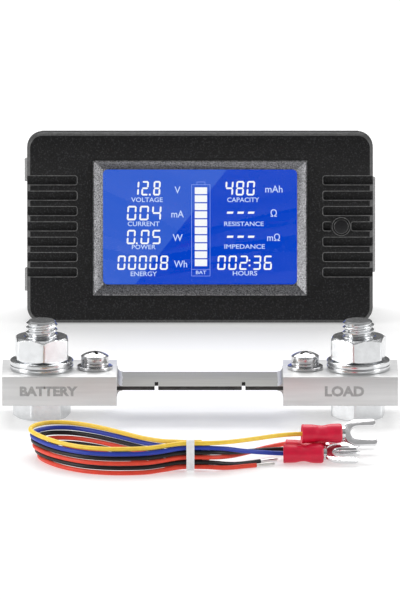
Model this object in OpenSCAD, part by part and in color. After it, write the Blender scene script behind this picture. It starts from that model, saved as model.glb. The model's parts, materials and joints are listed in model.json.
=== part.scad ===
/* [Shunt] */
// Overall length of the shunt over both terminal blocks
shunt_l = 100; // [90:1:130]
// Length of each terminal block along the shunt
block_l = 29; // [27:0.5:34]
// Width of the terminal blocks, front to back
block_w = 20; // [18:0.5:26]
// Height of the terminal blocks
block_h = 7.5; // [6.5:0.5:11]
// Width of the resistance strip
strip_w = 17; // [12:0.5:17.5]
// Thickness of the resistance strip
strip_t = 1; // [0.6:0.1:2]
// Depth of the strip's top face below the tops of the blocks
strip_drop = 2.75; // [2:0.25:3.5]
// Length of strip that is soldered into each block
strip_seat = 3; // [2:0.5:3.5]
// Width of a calibration notch in the strip
notch_w = 0.9; // [0.5:0.1:2]
// Depth of a calibration notch from the strip's front edge
notch_d = 5; // [2:0.5:8]
// Distance of each calibration notch from the middle of the shunt
notch_x = 11; // [6:1:14]
// Radius of the solder fillets between the strip and the blocks
solder_r = 1.6; // [0.8:0.1:2]

/* [Terminal hardware] */
// Thread diameter of the terminal bolts
bolt_d = 8; // [6:1:8]
// Width across flats of the terminal bolts and nuts
bolt_af = 13; // [12:0.5:14]
// Height of the terminal bolt heads
bolt_head_h = 4.8; // [4:0.1:6]
// Length of the terminal bolts under the head
bolt_l = 20; // [19:0.5:26]
// Distance of the terminal bolts from the outer ends of the blocks
bolt_inset = 10; // [9.5:0.25:10.5]
// Height of the terminal nuts
nut_h = 6; // [5:0.1:6.8]
// Outer diameter of the flat washers under the nuts
washer_d = 16; // [14.5:0.5:16.5]
// Thickness of each flat washer
washer_t = 1.2; // [0.8:0.1:1.6]

/* [Sense screws] */
// Thread diameter of the sense screws
sense_d = 4; // [3:0.5:4]
// Distance of the sense screws from the outer ends of the blocks
sense_inset = 23.4; // [23.2:0.1:24]
// Diameter of the pan heads
sense_head_d = 7; // [6:0.5:8]
// Height of the pan heads
sense_head_h = 2.6; // [2:0.1:3]
// Outer diameter of the flat washers under the sense screws
sense_washer_d = 9; // [8:0.5:9.5]
// Length of the sense screws under the head
sense_l = 8; // [7:0.5:9]

/* [Display unit] */
// Width of the front bezel
bezel_w = 89.6; // [86:0.2:110]
// Height of the front bezel
bezel_h = 49.6; // [48:0.2:60]
// Depth of the front bezel at its edge
bezel_t = 4.4; // [4:0.1:6]
// Thickness of the bezel's front wall
face_t = 2.2; // [1.8:0.1:2.6]
// Corner radius of the front bezel
bezel_r = 4; // [2:0.5:6]
// Chamfer around the front bezel
bezel_chamfer = 0.8; // [0.3:0.1:1.2]
// Height and half width lost from the bezel to the rear housing
housing_step = 2; // [1.5:0.1:3]
// Depth of the rear housing behind the bezel
housing_d = 20; // [19:0.5:30]
// Wall thickness of the rear housing
wall = 1.6; // [1.4:0.1:2.2]
// Width of the visible display area
lcd_w = 50.3; // [44:0.1:54]
// Height of the visible display area
lcd_h = 30; // [26:0.5:34]
// Width of the bevelled frame around the display area
bevel_w = 2.6; // [1.5:0.1:3.4]
// Depth of the bevelled frame
bevel_t = 2; // [1.2:0.1:2.1]
// Number of grip grooves on each side of the bezel
groove_count = 7; // [5:2:9]
// Spacing of the grip grooves
groove_pitch = 4; // [3.4:0.1:4.6]
// Height of one grip groove
groove_h = 2.2; // [1.4:0.1:2.6]
// Depth of the grip grooves
groove_t = 1; // [0.5:0.1:1.2]
// Length of the grip grooves from the bezel's edge
groove_l = 12.9; // [9:0.1:13.4]
// Diameter of the push button
button_d = 3.9; // [3:0.1:4.2]
// Distance of the push button from the middle of the display
button_x = 36.6; // [34:0.1:37]
// Travel of the push button
button_travel = 0.5; // [0.3:0.1:0.7]

/* [Leads] */
// Outer diameter of the wires
wire_d = 1.15; // [1:0.05:1.18]
// Outer diameter of the terminal sleeves
sleeve_d = 4.9; // [4.4:0.1:4.9]
// Length of the terminal sleeves
sleeve_l = 10.1; // [8:0.1:11]
// Width across the tines of the fork terminals
fork_w = 8.1; // [7.2:0.1:8.2]
// Width of the slot in the fork terminals
fork_slot = 4.3; // [4.1:0.1:4.4]
// Thickness of the fork terminals
fork_t = 0.8; // [0.6:0.1:1]

/* [Layout] */
// Distance from the shunt's middle back to the edge that the display stands on
display_gap = 112; // [60:1:140]
// Distance from the shunt's middle forward to the tie of the lead bundle
lead_gap = 63; // [60:1:90]

/* [Hidden] */
$fn = 48;
eps = 0.01;

// Shunt, with its own X along its length and the ground at Z 0
block_z = bolt_head_h;
top_z = block_z + block_h;
strip_z = top_z - strip_drop - strip_t;
strip_l = shunt_l - 2 * block_l + 2 * strip_seat;
seat_gap = 0.05;
bolt_x = shunt_l / 2 - bolt_inset;
sense_x = shunt_l / 2 - sense_inset;
hex_r = bolt_af / 2 / cos(30);
bolt_tip = 0.6;
nut_z = top_z + 2 * washer_t;
tip_z = bolt_head_h + bolt_l - bolt_tip;
free_z = min(nut_z + nut_h + 0.2, tip_z - 0.5);
thread_gap = 0.05;
washer_gap = 0.3;
nut_turn_left = 4;
nut_turn_right = 21;
spring_washer_t = 1;
spring_washer_d = sense_d + 3;
sense_washer_t = 0.8;
sense_head_z = top_z + sense_washer_t + spring_washer_t;

// Display, with X across, Y back from the rear of the bezel's flange, Z up from its foot
housing_w = bezel_w - 2 * housing_step;
housing_h = bezel_h - 2 * housing_step;
housing_r = max(bezel_r - housing_step, 0.5);
lean = atan(housing_step / housing_d);
mid_z = bezel_h / 2;
front_y = -bezel_t;
inner_y = front_y + face_t;
window_w = lcd_w + 2 * bevel_w;
window_h = lcd_h + 2 * bevel_w;
fit = 0.1;
trim_proud = 0.2;
trim_rim = 0.35;
trim_back = front_y + bevel_t + 0.6;
lens_t = 1;
lens_y = trim_back + fit;
glass_edge = 1.4;
glass_t = 2.2;
glass_y = lens_y + lens_t + fit;
light_t = 3.4;
light_y = glass_y + glass_t + fit;
pcb_t = 1.6;
pcb_y = light_y + light_t + 0.8;
pcb_back = pcb_y + pcb_t;
pcb_edge = 0.8;
pcb_w = housing_w - 2 * wall - 2 * pcb_edge;
pcb_h = housing_h - 2 * wall - 2.4;
lip_t = 1.2;
lip_d = 2.4;
ring_proud = 0.4;
ring_w = 0.5;
pocket_l = 2.1;
button_gap = 0.1;
button_front = front_y - ring_proud - 0.3;
button_flange = 0.8;
stem_d = 2.4;
switch_y = pcb_y - 3.4;
plunger_gap = 0.05;
plunger_y = switch_y - 0.5;
stem_back = plunger_y - button_travel - plunger_gap;
boss_inset = 2.9;
boss_x = housing_w / 2 - wall - boss_inset;
boss_z = housing_h / 2 - wall - boss_inset;
boss_r = 2.6;
boss_y = 8;
rest_x = 31;
rest_z = 14;
rest_r = 1.5;
case_screw_r = 1.2;
case_head_r = 2.1;
case_head_t = 1.5;

// Rear terminal block
ways = 4;
way_pitch = 5;
terminal_w = ways * way_pitch;
terminal_h = 10;
terminal_z = 15;
terminal_back = housing_d - 0.6;
terminal_gap = 0.4;
entry_r = 1.2;
entry_l = 6;
entry_z = terminal_z - 2.6;
clamp_z = terminal_z + 2.4;
clamp_r = 1.5;
clamp_l = 5;

// Panel clips, hinged at their rear end in the housing's sides
clip_t = 1;
clip_pivot_x = housing_w / 2 - wall / 2;
clip_pivot_y = housing_d - 3;
clip_barrel_r = 0.8;
clip_pin_r = 0.45;
clip_pin_l = 1.2;
clip_tip_x = bezel_w / 2 + 0.7;
clip_tip_y = 2.6;
clip_h = 24.6;
clip_finger = 5.8;
clip_gap = 0.5;
left_clip_h = bezel_h - 2 * 7.6;

// Leads
wire_r = wire_d / 2;
level = 1.2;
tin_r = 0.4;
sleeve_r = sleeve_d / 2;
barrel_r = 1.65;
barrel_bore = 0.7;
fork_l = 8.6;
tine_round = 0.5;
tie_t = 0.5;
tie_w = 2;
tie_x = -2.4;
tie_rise = 0.65;
tie_gap = 0.15;
column_gap = 1.25;

// Whole layout: the display and the shunt are centred about the origin
layout_back = display_gap + housing_d * cos(lean) + (bezel_h - housing_step) * sin(lean);
shunt_y = -(layout_back - block_w / 2) / 2;
display_y = shunt_y + display_gap;
lead_y = shunt_y - lead_gap;

// Routes of the wires: X, distance behind the tie, and height, from fork or tip to tip
yellow_route = [[28.4, 11.7, 7], [26, 11.5, 7], [23, 11, 7], [19, 9.4, 7], [14, 6.2, 7],
    [9, 2.8, 7.1], [5, 0.7, 7.2], [1, 0.1, 7.2], [-2.4, 0, 7.2], [-3.8, -0.1, 7.2],
    [-6, -0.6, 7.1], [-9.4, -1.7, 6.8],
    [-13, -2.9, 6.6], [-17.2, -3.8, 6.6], [-23.4, -3.8, 6.6], [-29.4, -1.6, 6.6],
    [-34.2, 2.4, 6.6], [-38, 7.4, 6.6], [-41, 13, 6.6], [-42.4, 17.8, 6.6], [-41.6, 22.4, 6.6],
    [-38.8, 25.6, 6.6], [-35.2, 26.4, 6.6], [-31.6, 25.4, 6.6], [-27.6, 22.8, 6.6],
    [-23.2, 18.6, 6.6], [-18.6, 13.4, 6.6], [-14, 8.4, 6.6], [-9.6, 4.4, 6.8], [-6, 2.2, 7.1],
    [-3.8, 1.3, 7.2], [-2.4, 1.25, 7.2], [-0.8, 1.3, 7.2], [0.4, 1.5, 7.2]];
blue_route = [[23.8, 9.2, 2.5], [21.4, 9.2, 2.5], [18.4, 8.8, 2.7], [14.6, 7.2, 3.3], [10.4, 4.4, 4.3],
    [7, 2, 5.3], [4, 0.6, 5.8], [1, 0.1, 6], [-2.4, 0, 6], [-3.8, -0.1, 6], [-6, -0.8, 5.9],
    [-9.4, -2.2, 5.6],
    [-13, -3.4, 5.4], [-17.4, -4.3, 5.4], [-23.4, -4.2, 5.4], [-29.2, -2.2, 5.4],
    [-34, 1.6, 5.4], [-37.8, 6.6, 5.4], [-40.8, 12.4, 5.4], [-42, 17, 5.4], [-41.2, 21.6, 5.4],
    [-38.4, 24.8, 5.4], [-35, 25.8, 5.4], [-31.4, 25, 5.4], [-27.2, 22.2, 5.4],
    [-22.8, 18, 5.4], [-18.2, 13, 5.4], [-13.8, 8.2, 5.4], [-9.4, 4.2, 5.6], [-6, 2.2, 5.9],
    [-3.8, 1.3, 6], [-2.4, 1.25, 6], [-0.8, 1.3, 6], [0.6, 1.5, 6]];
black_route_1 = [[24.4, 14.2, 2.5], [22, 14.2, 2.5], [18.4, 13.4, 2.6], [14, 10.8, 2.9], [9.8, 7, 3.4],
    [6.8, 3.4, 4.1], [4.2, 1.1, 4.6], [1, 0.1, 4.8], [-2.4, 0, 4.8], [-3.8, -0.1, 4.8], [-6, -0.7, 4.7],
    [-9.4, -2, 4.4], [-13, -3.3, 4.2], [-17.2, -4.1, 4.2], [-23, -4, 4.2], [-28.8, -2, 4.2],
    [-33.6, 1.8, 4.2], [-37.6, 6.8, 4.2], [-40.6, 12.6, 4.2], [-41.8, 17.2, 4.2],
    [-40.8, 21.8, 4.2], [-38, 24.8, 4.2], [-34.6, 25.4, 4.2], [-31, 24.4, 4.2],
    [-26.8, 21.6, 4.2], [-22.4, 17.4, 4.2], [-18, 12.6, 4.2], [-13.6, 7.8, 4.2],
    [-9.4, 4, 4.4], [-6, 2.2, 4.7], [-3.8, 1.3, 4.8], [-2.4, 1.25, 4.8], [-0.8, 1.3, 4.8], [0.2, 1.5, 4.8]];
red_route_1 = [[28.4, 22.2, 2.5], [26, 22, 2.5], [22, 20.6, 2.5], [17, 16.8, 2.4], [12.2, 11.6, 2.3],
    [8.4, 6.4, 2.6], [5.4, 2.6, 3.1], [2.6, 0.4, 3.5], [0, 0.1, 3.6], [-2.4, 0, 3.6],
    [-3.8, -0.1, 3.6], [-6, -0.7, 3.5],
    [-9.4, -2, 3.2], [-13, -3.4, 3], [-17.2, -4.3, 3], [-22.8, -4.2, 3], [-28.6, -2.3, 3],
    [-33.4, 1.4, 3], [-37.4, 6.2, 3], [-40.4, 12, 3], [-41.4, 16.8, 3], [-40.4, 21.2, 3],
    [-37.6, 24.2, 3], [-34.2, 24.8, 3], [-30.6, 23.8, 3], [-26.4, 21, 3], [-22, 16.8, 3],
    [-17.6, 12, 3], [-13.4, 7.6, 3], [-9.4, 4, 3.2], [-6, 2.2, 3.5], [-3.8, 1.3, 3.6], [-2.4, 1.25, 3.6],
    [-0.8, 1.3, 3.6], [0.6, 1.5, 3.6]];
black_route_2 = [[15, 8.8, 0.6], [12, 7, 0.6], [9, 4.8, 0.8], [6.4, 2.8, 1.3], [4, 1.2, 1.9],
    [1, 0.2, 2.3], [-2.4, 0, 2.4], [-3.8, -0.1, 2.4], [-6, -0.6, 2.3], [-9.4, -1.8, 2], [-13, -3.2, 1.8],
    [-17, -4, 1.8], [-22.6, -3.9, 1.8], [-28.4, -2, 1.8], [-33.2, 1.8, 1.8], [-37, 6.6, 1.8],
    [-39.9, 12.2, 1.8], [-40.8, 16.8, 1.8], [-39.8, 21, 1.8], [-37, 23.8, 1.8],
    [-33.8, 24.3, 1.8], [-30.2, 23.2, 1.8], [-26, 20.4, 1.8], [-21.8, 16.4, 1.8],
    [-17.4, 11.8, 1.8], [-13.2, 7.4, 1.8], [-9.2, 3.8, 2], [-6, 2.1, 2.3], [-3.8, 1.3, 2.4],
    [-2.4, 1.25, 2.4],
    [-0.8, 1.3, 2.4], [0.4, 1.5, 2.4]];
red_route_2 = [[14, 4.4, 0.6], [11, 3.2, 0.6], [8, 1.9, 0.6], [5, 0.7, 0.8], [2, 0.1, 1.1],
    [-2.4, 0, 1.2], [-3.8, -0.1, 1.2], [-6, -0.7, 1.1], [-9.4, -2, 0.8], [-13, -3.4, 0.6], [-17, -4.3, 0.6],
    [-22.4, -4.3, 0.6], [-28, -2.5, 0.6], [-32.8, 1, 0.6], [-36.6, 5.8, 0.6],
    [-39.4, 11.4, 0.6], [-40.2, 16, 0.6], [-39.2, 20.2, 0.6], [-36.4, 23, 0.6],
    [-33.2, 23.5, 0.6], [-29.6, 22.4, 0.6], [-25.6, 19.6, 0.6], [-21.4, 15.8, 0.6],
    [-17.2, 11.4, 0.6], [-13, 7, 0.6], [-9, 3.6, 0.8], [-6, 2.1, 1.1], [-3.8, 1.3, 1.2], [-2.4, 1.25, 1.2],
    [-0.8, 1.3, 1.2], [0.2, 1.5, 1.2]];
// Fork terminals: X of the sleeve's mouth, distance behind the tie, height, yaw and roll
yellow_seat = [25.4, 11.4, 7, 5, 38];
blue_seat = [20.8, 9.2, 2.5, 0, 20];
black_seat = [21.4, 14.2, 2.5, 0, 8];
red_seat = [25.4, 21.9, 2.5, 5, -12];

module rounded_rect(w, h, r) {
    square([w - 2 * r, h], center = true);
    square([w, h - 2 * r], center = true);
    for (sx = [-1, 1], sy = [-1, 1]) {
        translate([sx * (w / 2 - r), sy * (h / 2 - r)]) circle(r);
    }
}

// A plate in the display's frame: it spans y0 to y1, centred at x, z
module plate(w, h, r, y0, y1, x = 0, z = mid_z) {
    translate([x, y1, z]) rotate([90, 0, 0]) linear_extrude(y1 - y0) rounded_rect(w, h, r);
}

module box_plate(w, h, y0, y1, x = 0, z = mid_z) {
    translate([x - w / 2, y0, z - h / 2]) cube([w, y1 - y0, h]);
}

// A round rod along the display's Y
module rod(r, y0, y1, x, z) {
    translate([x, y1, z]) rotate([90, 0, 0]) cylinder(r = r, h = y1 - y0);
}

module place_display() {
    translate([0, display_y, 0]) rotate([-lean, 0, 0]) children();
}

module place_shunt() {
    translate([0, shunt_y, 0]) children();
}

module place_leads() {
    translate([0, lead_y, 0]) children();
}

// ---- Shunt ----

module block(side) {
    difference() {
        translate([side > 0 ? shunt_l / 2 - block_l : -shunt_l / 2, -block_w / 2, block_z])
            cube([block_l, block_w, block_h]);
        translate([side * bolt_x, 0, block_z - 1]) cylinder(d = bolt_d + 2 * washer_gap, h = block_h + 2);
        translate([side * sense_x, 0, block_z - 1]) cylinder(d = sense_d + 2 * thread_gap, h = block_h + 2);
        translate([-strip_l / 2 - seat_gap, -strip_w / 2 - seat_gap, strip_z])
            cube([strip_l + 2 * seat_gap, strip_w + 2 * seat_gap, strip_t]);
    }
}

module left_block() {
    color("gainsboro") place_shunt() block(-1);
}

module right_block() {
    color("gainsboro") place_shunt() block(1);
}

module resistor_strip() {
    color("darkgray") place_shunt() difference() {
        translate([-strip_l / 2, -strip_w / 2, strip_z]) cube([strip_l, strip_w, strip_t]);
        for (side = [-1, 1]) {
            translate([side * notch_x - notch_w / 2, -strip_w / 2 - 1, strip_z - 1])
                cube([notch_w, notch_d + 1, strip_t + 2]);
        }
    }
}

// Concave fillets above and below the strip, against one block's inner face
module solder(side) {
    face_x = shunt_l / 2 - block_l;
    below_r = min(solder_r, strip_z - block_z);
    place_shunt() for (up = [-1, 1]) {
        r = up > 0 ? solder_r : below_r;
        foot_z = up > 0 ? strip_z + strip_t : strip_z;
        difference() {
            translate([side > 0 ? face_x - r : -face_x, -strip_w / 2, up > 0 ? foot_z : foot_z - r])
                cube([r, strip_w, r]);
            translate([side * (face_x - r), strip_w / 2 + 1, foot_z + up * r])
                rotate([90, 0, 0]) cylinder(r = r - 0.1, h = strip_w + 2);
        }
    }
}

module left_solder() {
    color("silver") solder(-1);
}

module right_solder() {
    color("silver") solder(1);
}

// A hexagon whose corners are cut back by 30 degree cones
module hex_body(h, chamfer_low, chamfer_high) {
    c = (hex_r - bolt_af / 2) * tan(30) * 1.15;
    intersection() {
        cylinder(r = hex_r, h = h, $fn = 6);
        rotate_extrude() polygon([[0, 0], [chamfer_low ? bolt_af / 2 : hex_r, 0],
            [hex_r, chamfer_low ? c : 0], [hex_r, chamfer_high ? h - c : h],
            [chamfer_high ? bolt_af / 2 : hex_r, h], [0, h]]);
    }
}

// The shank is rolled a little thinner up to the nut's top; the free end has the full thread diameter
module bolt(side, turn) {
    place_shunt() translate([side * bolt_x, 0, 0]) {
        rotate([0, 0, turn]) hex_body(bolt_head_h, true, false);
        translate([0, 0, bolt_head_h - 0.5]) cylinder(d = bolt_d - 0.5, h = bolt_l + 0.5 - bolt_tip);
        translate([0, 0, free_z]) cylinder(d = bolt_d, h = tip_z - free_z);
        translate([0, 0, tip_z]) rotate_extrude()
            polygon([[0, -0.1], [bolt_d / 2, -0.1], [bolt_d / 2, 0], [bolt_d / 2 - bolt_tip, bolt_tip],
                [0, bolt_tip]]);
    }
}

module left_bolt() {
    color("silver") bolt(-1, 10);
}

module right_bolt() {
    color("silver") bolt(1, 24);
}

module flat_washer(side, z) {
    color("silver") place_shunt() translate([side * bolt_x, 0, z]) difference() {
        cylinder(d = washer_d, h = washer_t);
        translate([0, 0, -1]) cylinder(d = bolt_d + 2 * washer_gap, h = washer_t + 2);
    }
}

module left_lower_washer() {
    flat_washer(-1, top_z);
}

module right_lower_washer() {
    flat_washer(1, top_z);
}

module left_upper_washer() {
    flat_washer(-1, top_z + washer_t);
}

module right_upper_washer() {
    flat_washer(1, top_z + washer_t);
}

module nut(side, turn) {
    color("silver") place_shunt() translate([side * bolt_x, 0, nut_z]) difference() {
        rotate([0, 0, turn]) hex_body(nut_h, true, true);
        translate([0, 0, -1]) cylinder(d = bolt_d + 2 * thread_gap, h = nut_h + 2);
    }
}

module left_nut() {
    nut(-1, 30 + nut_turn_left);
}

module right_nut() {
    nut(1, nut_turn_right);
}

module sense_washer(side) {
    color("silver") place_shunt() translate([side * sense_x, 0, top_z]) difference() {
        cylinder(d = sense_washer_d, h = sense_washer_t);
        translate([0, 0, -1]) cylinder(d = sense_d + 2 * washer_gap, h = sense_washer_t + 2);
    }
}

module left_sense_washer() {
    sense_washer(-1);
}

module right_sense_washer() {
    sense_washer(1);
}

// Split spring washer, pressed flat, with its slot at the back
module sense_spring_washer(side) {
    color("silver") place_shunt() translate([side * sense_x, 0, top_z + sense_washer_t]) difference() {
        cylinder(d = spring_washer_d, h = spring_washer_t);
        translate([0, 0, -1]) cylinder(d = sense_d + 2 * washer_gap, h = spring_washer_t + 2);
        translate([-0.35, 0, -1]) cube([0.7, spring_washer_d, spring_washer_t + 2]);
    }
}

module left_sense_spring_washer() {
    sense_spring_washer(-1);
}

module right_sense_spring_washer() {
    sense_spring_washer(1);
}

module sense_screw(side, turn) {
    dome = 6;
    color("silver") place_shunt() translate([side * sense_x, 0, sense_head_z]) {
        difference() {
            intersection() {
                cylinder(d = sense_head_d, h = sense_head_h);
                translate([0, 0, sense_head_h - dome]) sphere(r = dome, $fn = 96);
            }
            for (a = [0, 90]) {
                rotate([0, 0, turn + a]) translate([-2, -0.45, sense_head_h - 1.4]) cube([4, 0.9, 3]);
            }
        }
        translate([0, 0, -sense_l]) cylinder(d = sense_d, h = sense_l + 0.5);
    }
}

module left_sense_screw() {
    sense_screw(-1, 20);
}

module right_sense_screw() {
    sense_screw(1, 52);
}

// ---- Display unit ----

// Grip grooves run from inside the face out through the bezel's side edge
module grooves() {
    r = 0.5;
    button_row = (groove_count - 1) / 2;
    for (side = [-1, 1], i = [0 : groove_count - 1]) {
        z = mid_z + 0.4 + (i - button_row) * groove_pitch;
        x_in = bezel_w / 2 - groove_l;
        if (side < 0 || i != button_row) {
            plate(groove_l + 4, groove_h, r, front_y - 1, front_y + groove_t,
                side * (x_in + (groove_l + 4) / 2), z);
        } else {
            plate(pocket_l, groove_h, r, front_y - 1, front_y + groove_t, x_in + pocket_l / 2, z);
            outer_x = button_x + button_d / 2 + ring_w + 0.2;
            plate(bezel_w / 2 - outer_x + 4, groove_h, r, front_y - 1, front_y + groove_t,
                (outer_x + bezel_w / 2 + 4) / 2, z);
        }
    }
}

module front_bezel() {
    button_z = mid_z + 0.4;
    color("dimgray") place_display() difference() {
        union() {
            hull() {
                plate(bezel_w, bezel_h, bezel_r, front_y + bezel_chamfer, 0);
                plate(bezel_w - 2 * bezel_chamfer, bezel_h - 2 * bezel_chamfer,
                    bezel_r - bezel_chamfer, front_y, 0);
            }
            rod(button_d / 2 + ring_w, front_y - ring_proud, front_y + 1, button_x, button_z);
            difference() {
                plate(housing_w - 2 * wall - 2 * fit, housing_h - 2 * wall - 2 * fit, housing_r,
                    -1, lip_d);
                plate(housing_w - 2 * wall - 2 * fit - 2 * lip_t,
                    housing_h - 2 * wall - 2 * fit - 2 * lip_t, housing_r, -2, lip_d + 1);
                for (side = [-1, 1]) {
                    box_plate(6, left_clip_h + 4, 0, lip_d + 1, side * housing_w / 2);
                }
            }
        }
        plate(housing_w - 2 * wall - 2 * fit - 2 * lip_t, housing_h - 2 * wall - 2 * fit - 2 * lip_t,
            housing_r, inner_y, 1);
        plate(window_w + 2 * fit, window_h + 2 * fit, 0.3, front_y - 1, inner_y + 1);
        grooves();
        rod(button_d / 2 + button_gap, front_y - 2, inner_y + 1, button_x, button_z);
    }
    color("dimgray") place_display() for (sx = [-1, 1], sz = [-1, 1]) {
        difference() {
            rod(boss_r, inner_y - 0.5, boss_y, sx * boss_x, mid_z + sz * boss_z);
            rod(case_screw_r - 0.15, 0, boss_y + 1, sx * boss_x, mid_z + sz * boss_z);
        }
    }
}

module window_trim() {
    color("silver") place_display() difference() {
        plate(window_w, window_h, 0.2, front_y - trim_proud, trim_back);
        hull() {
            box_plate(window_w - 2 * trim_rim, window_h - 2 * trim_rim,
                front_y - trim_proud - eps, front_y - trim_proud);
            box_plate(lcd_w, lcd_h, front_y + bevel_t, front_y + bevel_t + eps);
        }
        plate(lcd_w, lcd_h, 1.2, front_y, trim_back + 1);
    }
}

module window_lens() {
    color("skyblue", 0.4) place_display()
        plate(lcd_w + 2 * glass_edge, lcd_h + 2 * glass_edge, 0.5, lens_y, lens_y + lens_t);
}

module lcd_glass() {
    color("royalblue") place_display()
        plate(lcd_w + 2 * glass_edge, lcd_h + 2 * glass_edge, 0.3, glass_y, glass_y + glass_t);
}

module backlight() {
    color("white") place_display()
        plate(lcd_w + 2 * glass_edge, lcd_h + 2 * glass_edge, 0.6, light_y, light_y + light_t);
}

// Two rows of contact pins that carry the display glass on the board
module lcd_pins() {
    pin_pitch = 2;
    pin_count = 20;
    z_off = lcd_h / 2 + glass_edge + 0.2;
    color("silver") place_display() for (row = [-1, 1], i = [0 : pin_count - 1]) {
        x = (i - (pin_count - 1) / 2) * pin_pitch;
        box_plate(0.5, 0.4, glass_y + 0.4, pcb_y + pcb_t + 0.6, x, mid_z + row * z_off);
    }
}

module main_pcb() {
    pin_pitch = 2;
    z_off = lcd_h / 2 + glass_edge + 0.2;
    color("darkgreen") place_display() difference() {
        plate(pcb_w, pcb_h, 1, pcb_y, pcb_back);
        for (row = [-1, 1]) {
            box_plate(20 * pin_pitch, 0.8, pcb_y - 1, pcb_back + 1, 0, mid_z + row * z_off);
        }
        for (sx = [-1, 1], sz = [-1, 1]) {
            box_plate(4 * boss_r, 4 * boss_r, pcb_y - 1, pcb_back + 1,
                sx * (boss_x + boss_r - 0.4), mid_z + sz * (boss_z + boss_r - 0.4));
        }
    }
}

module mcu_chip() {
    color("black") place_display() {
        plate(7, 7, 0.2, pcb_back + 0.15, pcb_back + 1.5, -14, mid_z + 7);
        for (a = [0 : 7]) {
            box_plate(9, 0.35, pcb_back, pcb_back + 0.5, -14, mid_z + 7 + (a - 3.5) * 0.8);
        }
    }
}

module pcb_components() {
    color("saddlebrown") place_display() {
        rod(2.5, pcb_back, pcb_back + 6, 4, mid_z + 9);
        rod(2, pcb_back, pcb_back + 5, 12, mid_z + 9);
        box_plate(6.5, 6.5, pcb_back, pcb_back + 3, 21, mid_z + 8);
        box_plate(5, 4, pcb_back, pcb_back + 1.6, -25, mid_z + 9);
        box_plate(5, 4, pcb_back, pcb_back + 1.6, -25, mid_z + 1);
        for (i = [0 : 5]) {
            box_plate(2, 1.2, pcb_back, pcb_back + 0.6, -4 + i * 5, mid_z + 2.5);
        }
        box_plate(4, 1.6, pcb_back, pcb_back + 0.7, 28, mid_z - 3);
        box_plate(4, 1.6, pcb_back, pcb_back + 0.7, 28, mid_z - 7);
    }
}

module tact_switch() {
    color("gray") place_display() {
        box_plate(6, 6, switch_y, pcb_y, button_x, mid_z + 0.4);
        rod(1.7, plunger_y, switch_y + 0.5, button_x, mid_z + 0.4);
    }
}

module button() {
    button_z = mid_z + 0.4;
    color("black") place_display() {
        rod(button_d / 2, button_front, inner_y + 0.5, button_x, button_z);
        rod(button_d / 2 + 0.6, inner_y + 0.1, inner_y + 0.1 + button_flange, button_x, button_z);
        rod(stem_d / 2, inner_y, stem_back, button_x, button_z);
    }
}

module rear_housing() {
    clip_window = clip_h + 2 * clip_gap;
    color("dimgray") place_display() difference() {
        union() {
            difference() {
                plate(housing_w, housing_h, housing_r, 0, housing_d);
                plate(housing_w - 2 * wall, housing_h - 2 * wall, max(housing_r - wall, 0.3),
                    -1, housing_d - wall);
            }
            for (sx = [-1, 1], sz = [-1, 1]) {
                rod(boss_r, boss_y + 0.2, housing_d - 0.5, sx * boss_x, mid_z + sz * boss_z);
                rod(rest_r, pcb_back, housing_d - 0.5, sx * rest_x, mid_z + sz * rest_z);
            }
        }
        for (sx = [-1, 1], sz = [-1, 1]) {
            rod(case_screw_r + 0.3, boss_y - 1, housing_d + 1, sx * boss_x, mid_z + sz * boss_z);
            rod(case_head_r + 0.3, housing_d - case_head_t - 0.2, housing_d + 1,
                sx * boss_x, mid_z + sz * boss_z);
        }
        box_plate(terminal_w + 2 * terminal_gap, terminal_h + 2 * terminal_gap,
            housing_d - wall - 1, housing_d + 1, 0, terminal_z);
        // Windows in the sides for the clips, with holes for their pins; a web of wall stays between
        // the left clip's two fingers
        box_plate(2 * (wall + 0.2), clip_window, clip_tip_y - 1, clip_pivot_y + clip_barrel_r + clip_gap,
            housing_w / 2);
        translate([clip_pivot_x, clip_pivot_y, mid_z - clip_window / 2 - clip_pin_l - 0.1])
            cylinder(r = clip_pin_r + 0.05, h = clip_window + 2 * clip_pin_l + 0.2);
        difference() {
            box_plate(2 * (wall + 0.2), left_clip_h + 2 * clip_gap, clip_tip_y - 1,
                clip_pivot_y + clip_barrel_r + clip_gap, -housing_w / 2);
            box_plate(3 * (wall + 0.2), left_clip_h - 2 * clip_finger - 2 * clip_gap, clip_tip_y - 2,
                clip_pivot_y - 2 - clip_gap, -housing_w / 2);
        }
        translate([-clip_pivot_x, clip_pivot_y, mid_z - left_clip_h / 2 - clip_gap - clip_pin_l - 0.1])
            cylinder(r = clip_pin_r + 0.05, h = left_clip_h + 2 * clip_gap + 2 * clip_pin_l + 0.2);
        for (i = [0 : 4]) {
            box_plate(1.2, 8, housing_d - wall - 1, housing_d + 1, (i - 2) * 3, mid_z + 12);
        }
    }
}

module case_screws() {
    color("silver") place_display() for (sx = [-1, 1], sz = [-1, 1]) {
        x = sx * boss_x;
        z = mid_z + sz * boss_z;
        difference() {
            union() {
                rod(case_head_r, housing_d - case_head_t - 0.2, housing_d - 0.2, x, z);
                rod(case_screw_r - 0.2, boss_y - 6, housing_d - case_head_t, x, z);
            }
            box_plate(2.4, 0.6, housing_d - 1, housing_d + 1, x, z);
            box_plate(0.6, 2.4, housing_d - 1, housing_d + 1, x, z);
        }
    }
}

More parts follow.
